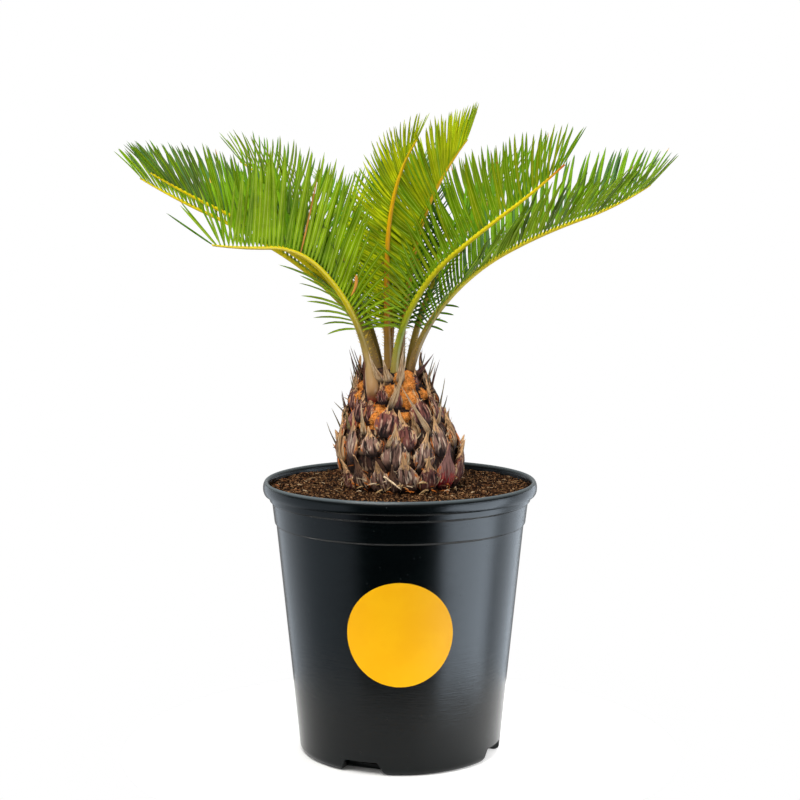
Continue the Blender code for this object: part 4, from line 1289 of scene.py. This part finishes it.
def trunkShare(height):  # how far up the trunk a height is
    return (height - trunk["foot"]) / (trunk["top"] - trunk["foot"])


def trunkAway(degrees):  # straight out from the trunk
    return (trunkSpot(0.5, degrees) - trunkSpot(0.5, degrees, -0.01)).normalized()


def clumpRise(spot):
    rise = 0.0
    for degrees, height, spread, most in trunk["clumps"]:
        distance = (spot - trunkSpot(trunkShare(height), degrees)).length
        rise = max(rise, most * math.exp(-(distance / spread) ** 2))
    return rise


def woolly(spot):  # the clumps are woolly, and the rest is bare
    return clumpRise(spot) > trunk["woolRise"]


def woolMaterial(name, colour):
    made, tree, shader = startMaterial(name, roughness=0.9, specular=0.15)
    tone = mottle(tree, place(tree), first=timesColour(colour, 0.62), second=timesColour(colour, 1.2),
                  scale=330.0, detail=3.0, low=0.3, high=0.65)
    wire(tree, shader, tone, None, tone.outputs["Mask"], 0.0004, 0.8)
    return made


def coreMaterial():
    made, tree, shader = startMaterial("trunkCore", roughness=0.85, specular=0.2)
    tone = mottle(tree, place(tree), stretch=(1, 1, 0.5), first=(0.012, 0.007, 0.006),
                  second=(0.060, 0.026, 0.016), scale=200.0, detail=4.0)
    wire(tree, shader, tone, None, tone.outputs["Mask"], 0.0005, 0.8)
    return made


def scaleMaterial(name, dark, main, pale, ends=(0.56, 0.33, 0.16), endsFrom=0.56, rust=(0.62, 0.17, 0.03)):
    made, tree, shader = startMaterial(name, roughness=0.6, specular=0.15)
    blade, root = (addNode(tree, "ShaderNodeAttribute", attribute_name=name).outputs["Vector"]
                   for name in ("blank", "root"))
    where = vectorMaths(tree, "ADD", blade, scaled(tree, root, 130.0))
    x, y, _ = split(tree, blade).outputs
    streaks = mottle(tree, where, stretch=(1.8, 3.4, 1.0), first=dark, second=main,
                     scale=1.4, detail=9.0, low=0.36, high=0.6)
    patches = mottle(tree, where, stretch=(2.0, 3.2, 1.0), scale=1.7, detail=9.0, low=0.53, high=0.66)
    colour = blendColour(tree, maths(tree, "MULTIPLY", patches.outputs["Mask"], 0.8), streaks, pale)
    frayed = mottle(tree, where, scale=6.0, detail=5.0, low=0.25, high=0.75)
    fray = maths(tree, "SUBTRACT", frayed.outputs["Mask"], 0.5)
    further = mapped(tree, maths(tree, "MULTIPLY_ADD", fray, 0.3, x), endsFrom, endsFrom + 0.12)
    spines = mottle(tree, where, stretch=(1.5, 6.0, 1.0), first=timesColour(ends, 0.35),
                    second=timesColour(ends, 1.25), scale=2.0, detail=5.0, low=0.36, high=0.52)
    colour = blendColour(tree, further, colour, spines)
    aside = maths(tree, "MULTIPLY_ADD", fray, 0.6, maths(tree, "ABSOLUTE", y))
    rims = mottle(tree, where, first=rust, second=(0.62, 0.44, 0.26),
                  scale=2.6, detail=2.0, low=0.42, high=0.58)
    colour = blendColour(tree, mapped(tree, aside, 0.80, 0.93), colour, rims)
    # painted shade: each blade is darkened to near black towards its foot, where it tucks into the trunk and
    # under the others
    colour = blendColour(tree, mapped(tree, x, 0.05, 0.2, 0.95, 0.0), colour, (0.012, 0.006, 0.005))
    fibres = mottle(tree, where, stretch=(1.4, 7.0, 1.0), scale=2.4, detail=6.0, low=0.3, high=0.7)
    wire(tree, shader, colour, None, fibres.outputs["Mask"], 0.0008, 1.0)
    return made


def buildCore(wool):
    bm = bmesh.new()
    rings = []
    sides = trunk["coreSides"]
    for ring in range(trunk["coreRings"] + trunk["domeRings"]):
        t = ring / (trunk["coreRings"] - 1)
        over = max(0.0, (t - 1) * (trunk["coreRings"] - 1) / trunk["domeRings"]) * math.pi / 2
        row = []
        for side in range(sides):
            degrees = 360 * side / sides
            spot = trunkSpot(min(t, 1.0), degrees)
            lump = noise.noise(spot * 160.0) * 0.0012 + clumpRise(spot)
            spot = trunkSpot(min(t, 1.0), degrees, lump - trunk["inset"])
            if over:
                axis = trunkSpot(1.0, 0, -along(trunk["shape"], 1.0))
                spot = axis + (spot - axis) * math.cos(over)
                spot.z += trunk["dome"] * math.sin(over)
            if ring == 0:
                spot.z -= trunk["sunk"]
            row.append(bm.verts.new(spot))
        rings.append(row)
    for lower, upper in zip(rings, rings[1:]):
        for side in range(sides):
            face = bm.faces.new((lower[side - 1], lower[side], upper[side], upper[side - 1]))
            face.material_index = int(woolly(face.calc_center_median()))
    bm.faces.new(rings[0])
    bm.faces.new(rings[-1])
    core = addObject("trunkCore", meshFrom(bm, "trunkCore", 60))
    core.data.materials.append(coreMaterial())
    core.data.materials.append(wool[0])
    handOver(core, "trunk_bark", "trunk")
    return core


def buildWool(core, wool):
    bm = bmesh.new()
    bm.from_mesh(core.data)
    bare = [face for face in bm.faces if not woolly(face.calc_center_median())]
    bmesh.ops.delete(bm, geom=bare, context="FACES")
    ground = bpy.data.meshes.new("woolGround")
    bm.to_mesh(ground)
    bm.free()
    bit = makeBit("woolBit", 1, 0.35, 0.8, 9)
    tufts = scatter(
        "crownWool", ground, bit, trunk["woolDensity"], trunk["woolSize"], wool, 0.0001, trunk["seed"])
    handOver(tufts, "trunk_bark", "trunk")
    discard(bit)


def scaleShoot(degrees, height, reach, half, lean, flare, tint, rng, sunk=trunk["scaleSunk"]):
    root = trunkSpot(trunkShare(height), degrees, -sunk)
    head = trunkSpot(trunkShare(height + 0.6 * reach), degrees, -sunk)
    away = trunkAway(degrees)
    way = Matrix.Rotation(math.radians(-lean), 3, away) @ (head - root).normalized()
    twist = rng.uniform(-trunk["scaleTwist"], trunk["scaleTwist"])
    thick = Matrix.Rotation(math.radians(twist), 3, way) @ squared(away, way)
    deep = trunk["scaleDeep"] * rng.uniform(0.8, 1.2) * min(1.0, half / 0.009)
    return Shoot(root, way, thick, away * flare, reach, half, deep, tint, 1)


def scaleShoots(rng):
    shoots = [scaleShoot(*scale, rng) for scale in frontScales]
    shoots += [scaleShoot(*scale, rng, -0.003) for scale in coverScales]
    columns, rows = trunk["columns"], trunk["rows"]
    for row in range(rows):
        for column in range(columns):
            degrees = 360 * (column + 0.5 + 0.5 * (row % 2)) / columns
            degrees += rng.uniform(-trunk["scaleTurn"], trunk["scaleTurn"])
            degrees = (degrees + 180) % 360 - 180
            inFront = trunk["front"][0] < degrees < trunk["front"][1]
            if inFront and row > trunk["coveredRows"]:
                continue
            t = max(0.0, (row - 0.2 + rng.uniform(-0.2, 0.2)) / rows)
            height = trunk["foot"] + (trunk["top"] - trunk["foot"]) * t
            half = math.pi * along(trunk["shape"], t) / columns * trunk["scaleWide"] * rng.uniform(0.85, 1.15)
            reach = rng.uniform(*trunk["scaleReach"]) * (1 if row < trunk["spinyRow"] else 0.85)
            flare = trunk["scaleFlare"] * rng.uniform(0.4, 1.3) * (0.3 if inFront else 1)
            tint = 4 if inFront else pick(rng, (6, 4, 3, 0.6, 2))
            lean = rng.uniform(-trunk["scaleLean"], trunk["scaleLean"])
            sunk = trunk["coveredSunk"] if inFront else trunk["scaleSunk"]
            shoots.append(scaleShoot(degrees, height, reach, half, lean, flare, tint, rng, sunk))
    return shoots


def shredShoots(scales, rng):  # torn fibres along the edges of the leaf bases
    shoots = []
    for scale in scales:
        across = scale.thick.cross(scale.way)
        for _ in range(trunk["shreds"]):
            x = rng.uniform(0.2, 0.62)
            hand = rng.choice((-1, 1))
            wide = along(scaleWidths, x) * rng.uniform(0.8, 1.02)
            root = scale.root + scale.way * (scale.reach * x) + across * (scale.half * wide * hand)
            root += scale.bend * (x * x) + scale.thick * (scale.depth * 0.25)
            way = scale.way * rng.uniform(-0.2, 1) + across * (hand * rng.uniform(-0.5, 0.7))
            way = (way + scale.thick * rng.uniform(-0.1, 0.7)).normalized()
            reach = rng.uniform(0.0025, 0.0085)
            bend = (scale.way * rng.uniform(-0.4, 0.4) + scale.thick * rng.uniform(-0.4, 0.4)) * reach
            half = rng.uniform(0.0003, 0.0009)
            shoots.append(Shoot(root, way, squared(scale.thick, way), bend, reach, half, trunk["fibreDepth"],
                                pick(rng, (4, 3, 2, 4)), 0))
    return shoots


def footShoots(rng):  # a pale twig that leans on the trunk's foot, and curls of fibre round it
    top, low = trunkSpot(0.17, -104, 0.009), trunkSpot(0.028, -85, 0.016)
    way = (low - top).normalized()
    thick = squared(Vector((0, -1, 0)), way)
    shoots = [Shoot(top, way, thick, Vector((0, 0, 0)), (low - top).length, 0.0009, 0.0007, 2, 0)]
    for _ in range(trunk["footFibres"]):
        degrees = rng.uniform(-180, 180)
        root = trunkSpot(rng.uniform(0.0, 0.12), degrees, rng.uniform(0.002, 0.006))
        away = trunkAway(degrees)
        way = Vector((0, 0, 1)).cross(away) * rng.choice((-1, 1))
        way = (way + away * rng.uniform(-0.1, 0.5) + Vector((0, 0, rng.uniform(-0.5, 0.7)))).normalized()
        reach = rng.uniform(0.004, 0.011)
        bend = Vector((0, 0, -rng.uniform(0.1, 0.7) * reach))
        half = rng.uniform(0.0003, 0.0008)
        shoots.append(Shoot(root, way, squared(away, way), bend, reach, half, trunk["fibreDepth"],
                            pick(rng, (4, 2, 2, 2)), 0))
    return shoots


def pointShoot(degrees, height, out, reach, lean, half, tint):
    root = trunkSpot(trunkShare(height), degrees, out - 0.002)
    away = trunkAway(degrees)
    tilt = math.radians(lean)
    level = away * 0.22
    level.x *= 0.3
    way = (Vector((math.sin(tilt), 0, math.cos(tilt))) + level).normalized()
    bend = (Vector((0, 0, 1)) - way * way.z) * (reach * 0.12)
    return Shoot(root, way, squared(away, way), bend, reach, half * 1.4, trunk["pointDepth"], tint, 0)


def pointShoots(rng):
    shoots = [pointShoot(*point) for point in dryPoints]
    for row in range(trunk["spinyRow"], trunk["rows"]):
        for column in range(trunk["columns"]):
            degrees = 360 * (column + 0.5 + 0.5 * (row % 2)) / trunk["columns"]
            if not 6 < degrees < 174:  # the back alone
                continue
            away = trunkAway(degrees)
            root = trunkSpot((row + 0.45) / trunk["rows"], degrees, rng.uniform(0, 0.003))
            way = Vector((0, 0, 1)) + away * rng.uniform(0.15, 0.5) + Vector((rng.uniform(-0.2, 0.2), 0, 0))
            way.normalize()
            reach = rng.uniform(0.016, 0.034)
            bend = (Vector((0, 0, 1)) - way * way.z) * (reach * 0.25)
            half = rng.uniform(0.0022, 0.0032)
            shoots.append(Shoot(root, way, squared(away, way), bend, reach, half, trunk["pointDepth"],
                                pick(rng, (3, 3, 2, 2)), 0))
    return shoots


def buildLeafBases(rng):
    turns = [math.radians(15 * step) for step in range(13)]
    front = [(-math.cos(turn), 0.85 * math.sin(turn) ** 0.8 + 0.3 * abs(math.cos(turn)) ** 5)
             for turn in turns]
    scale = makeBlank("scaleBlank", [(x, wide, along(scaleDepths, x)) for x, wide in scaleWidths],
                      front + [(0.8, -0.05), (0, -0.1), (-0.8, -0.05)], (0,) * 12 + (1,) * 4, 0.1)
    tints = [scaleMaterial(*colours) for colours in scaleColours]
    back, rim = scaleMaterial(*backColours), scaleMaterial(*rimColours)
    used = [finish for tint in tints for finish in (tint, back)]
    bases = scaleShoots(rng)
    scales = grow("leafBases", bases, scale, used, rim, parts=2, stir=0.08, ripple=0.0036,
                  rippleScale=1.3, seed=5, sharp=50, keep=("blank", "root"))
    handOver(scales, "trunk_bark", "trunk")
    discard(scale)
    return bases


def buildShreds(bases, rng):
    shred = makeBlank("shredBlank", ((0, 1, 1), (0.4, 0.9, 0.9), (0.75, 0.5, 0.6)),
                      ((-1, 0), (0, 1), (1, 0), (0, -1)))
    torn = [crumbMaterial(name, colour, 0.35) for name, colour in shredColours]
    shreds = grow("tornFibres", shredShoots(bases, rng) + footShoots(rng), shred, torn, parts=1,
                  stir=0.35, seed=8, sharp=40)
    handOver(shreds, "trunk_bark", "trunk")
    discard(shred)


def buildDryPoints(rng):
    point = makeBlank("pointBlank", (
        (0, 0.15, 0.2), (0.05, 0.5, 0.5), (0.13, 0.9, 0.9), (0.22, 0.95, 1), (0.36, 0.66, 0.8),
        (0.52, 0.43, 0.6), (0.7, 0.27, 0.45), (0.87, 0.14, 0.3)),
        ((-1, 0), (-0.5, 0.45), (0, 0.62), (0.5, 0.45), (1, 0), (0, -0.25)), (0, 0, 0, 0, 1, 1))
    tints = [scaleMaterial(*colours, pointEndsFrom) for colours in pointColours]
    used = [finish for tint in tints for finish in (tint, tint)]
    points = grow("dryPoints", pointShoots(rng), point, used, parts=2, stir=0.12, ripple=0.0004, seed=6,
                  sharp=50, keep=("blank", "root"))
    handOver(points, "trunk_bark", "trunk")
    discard(point)


def buildTrunk():
    rng = random.Random(trunk["seed"])
    wool = [woolMaterial(f"orangeWool{number}", colour) for number, colour in enumerate(woolColours)]
    buildWool(buildCore(wool), wool)
    buildShreds(buildLeafBases(rng), rng)
    buildDryPoints(rng)


buildTrunk()
print("trunk done")
buildFronds()
print("fronds done")
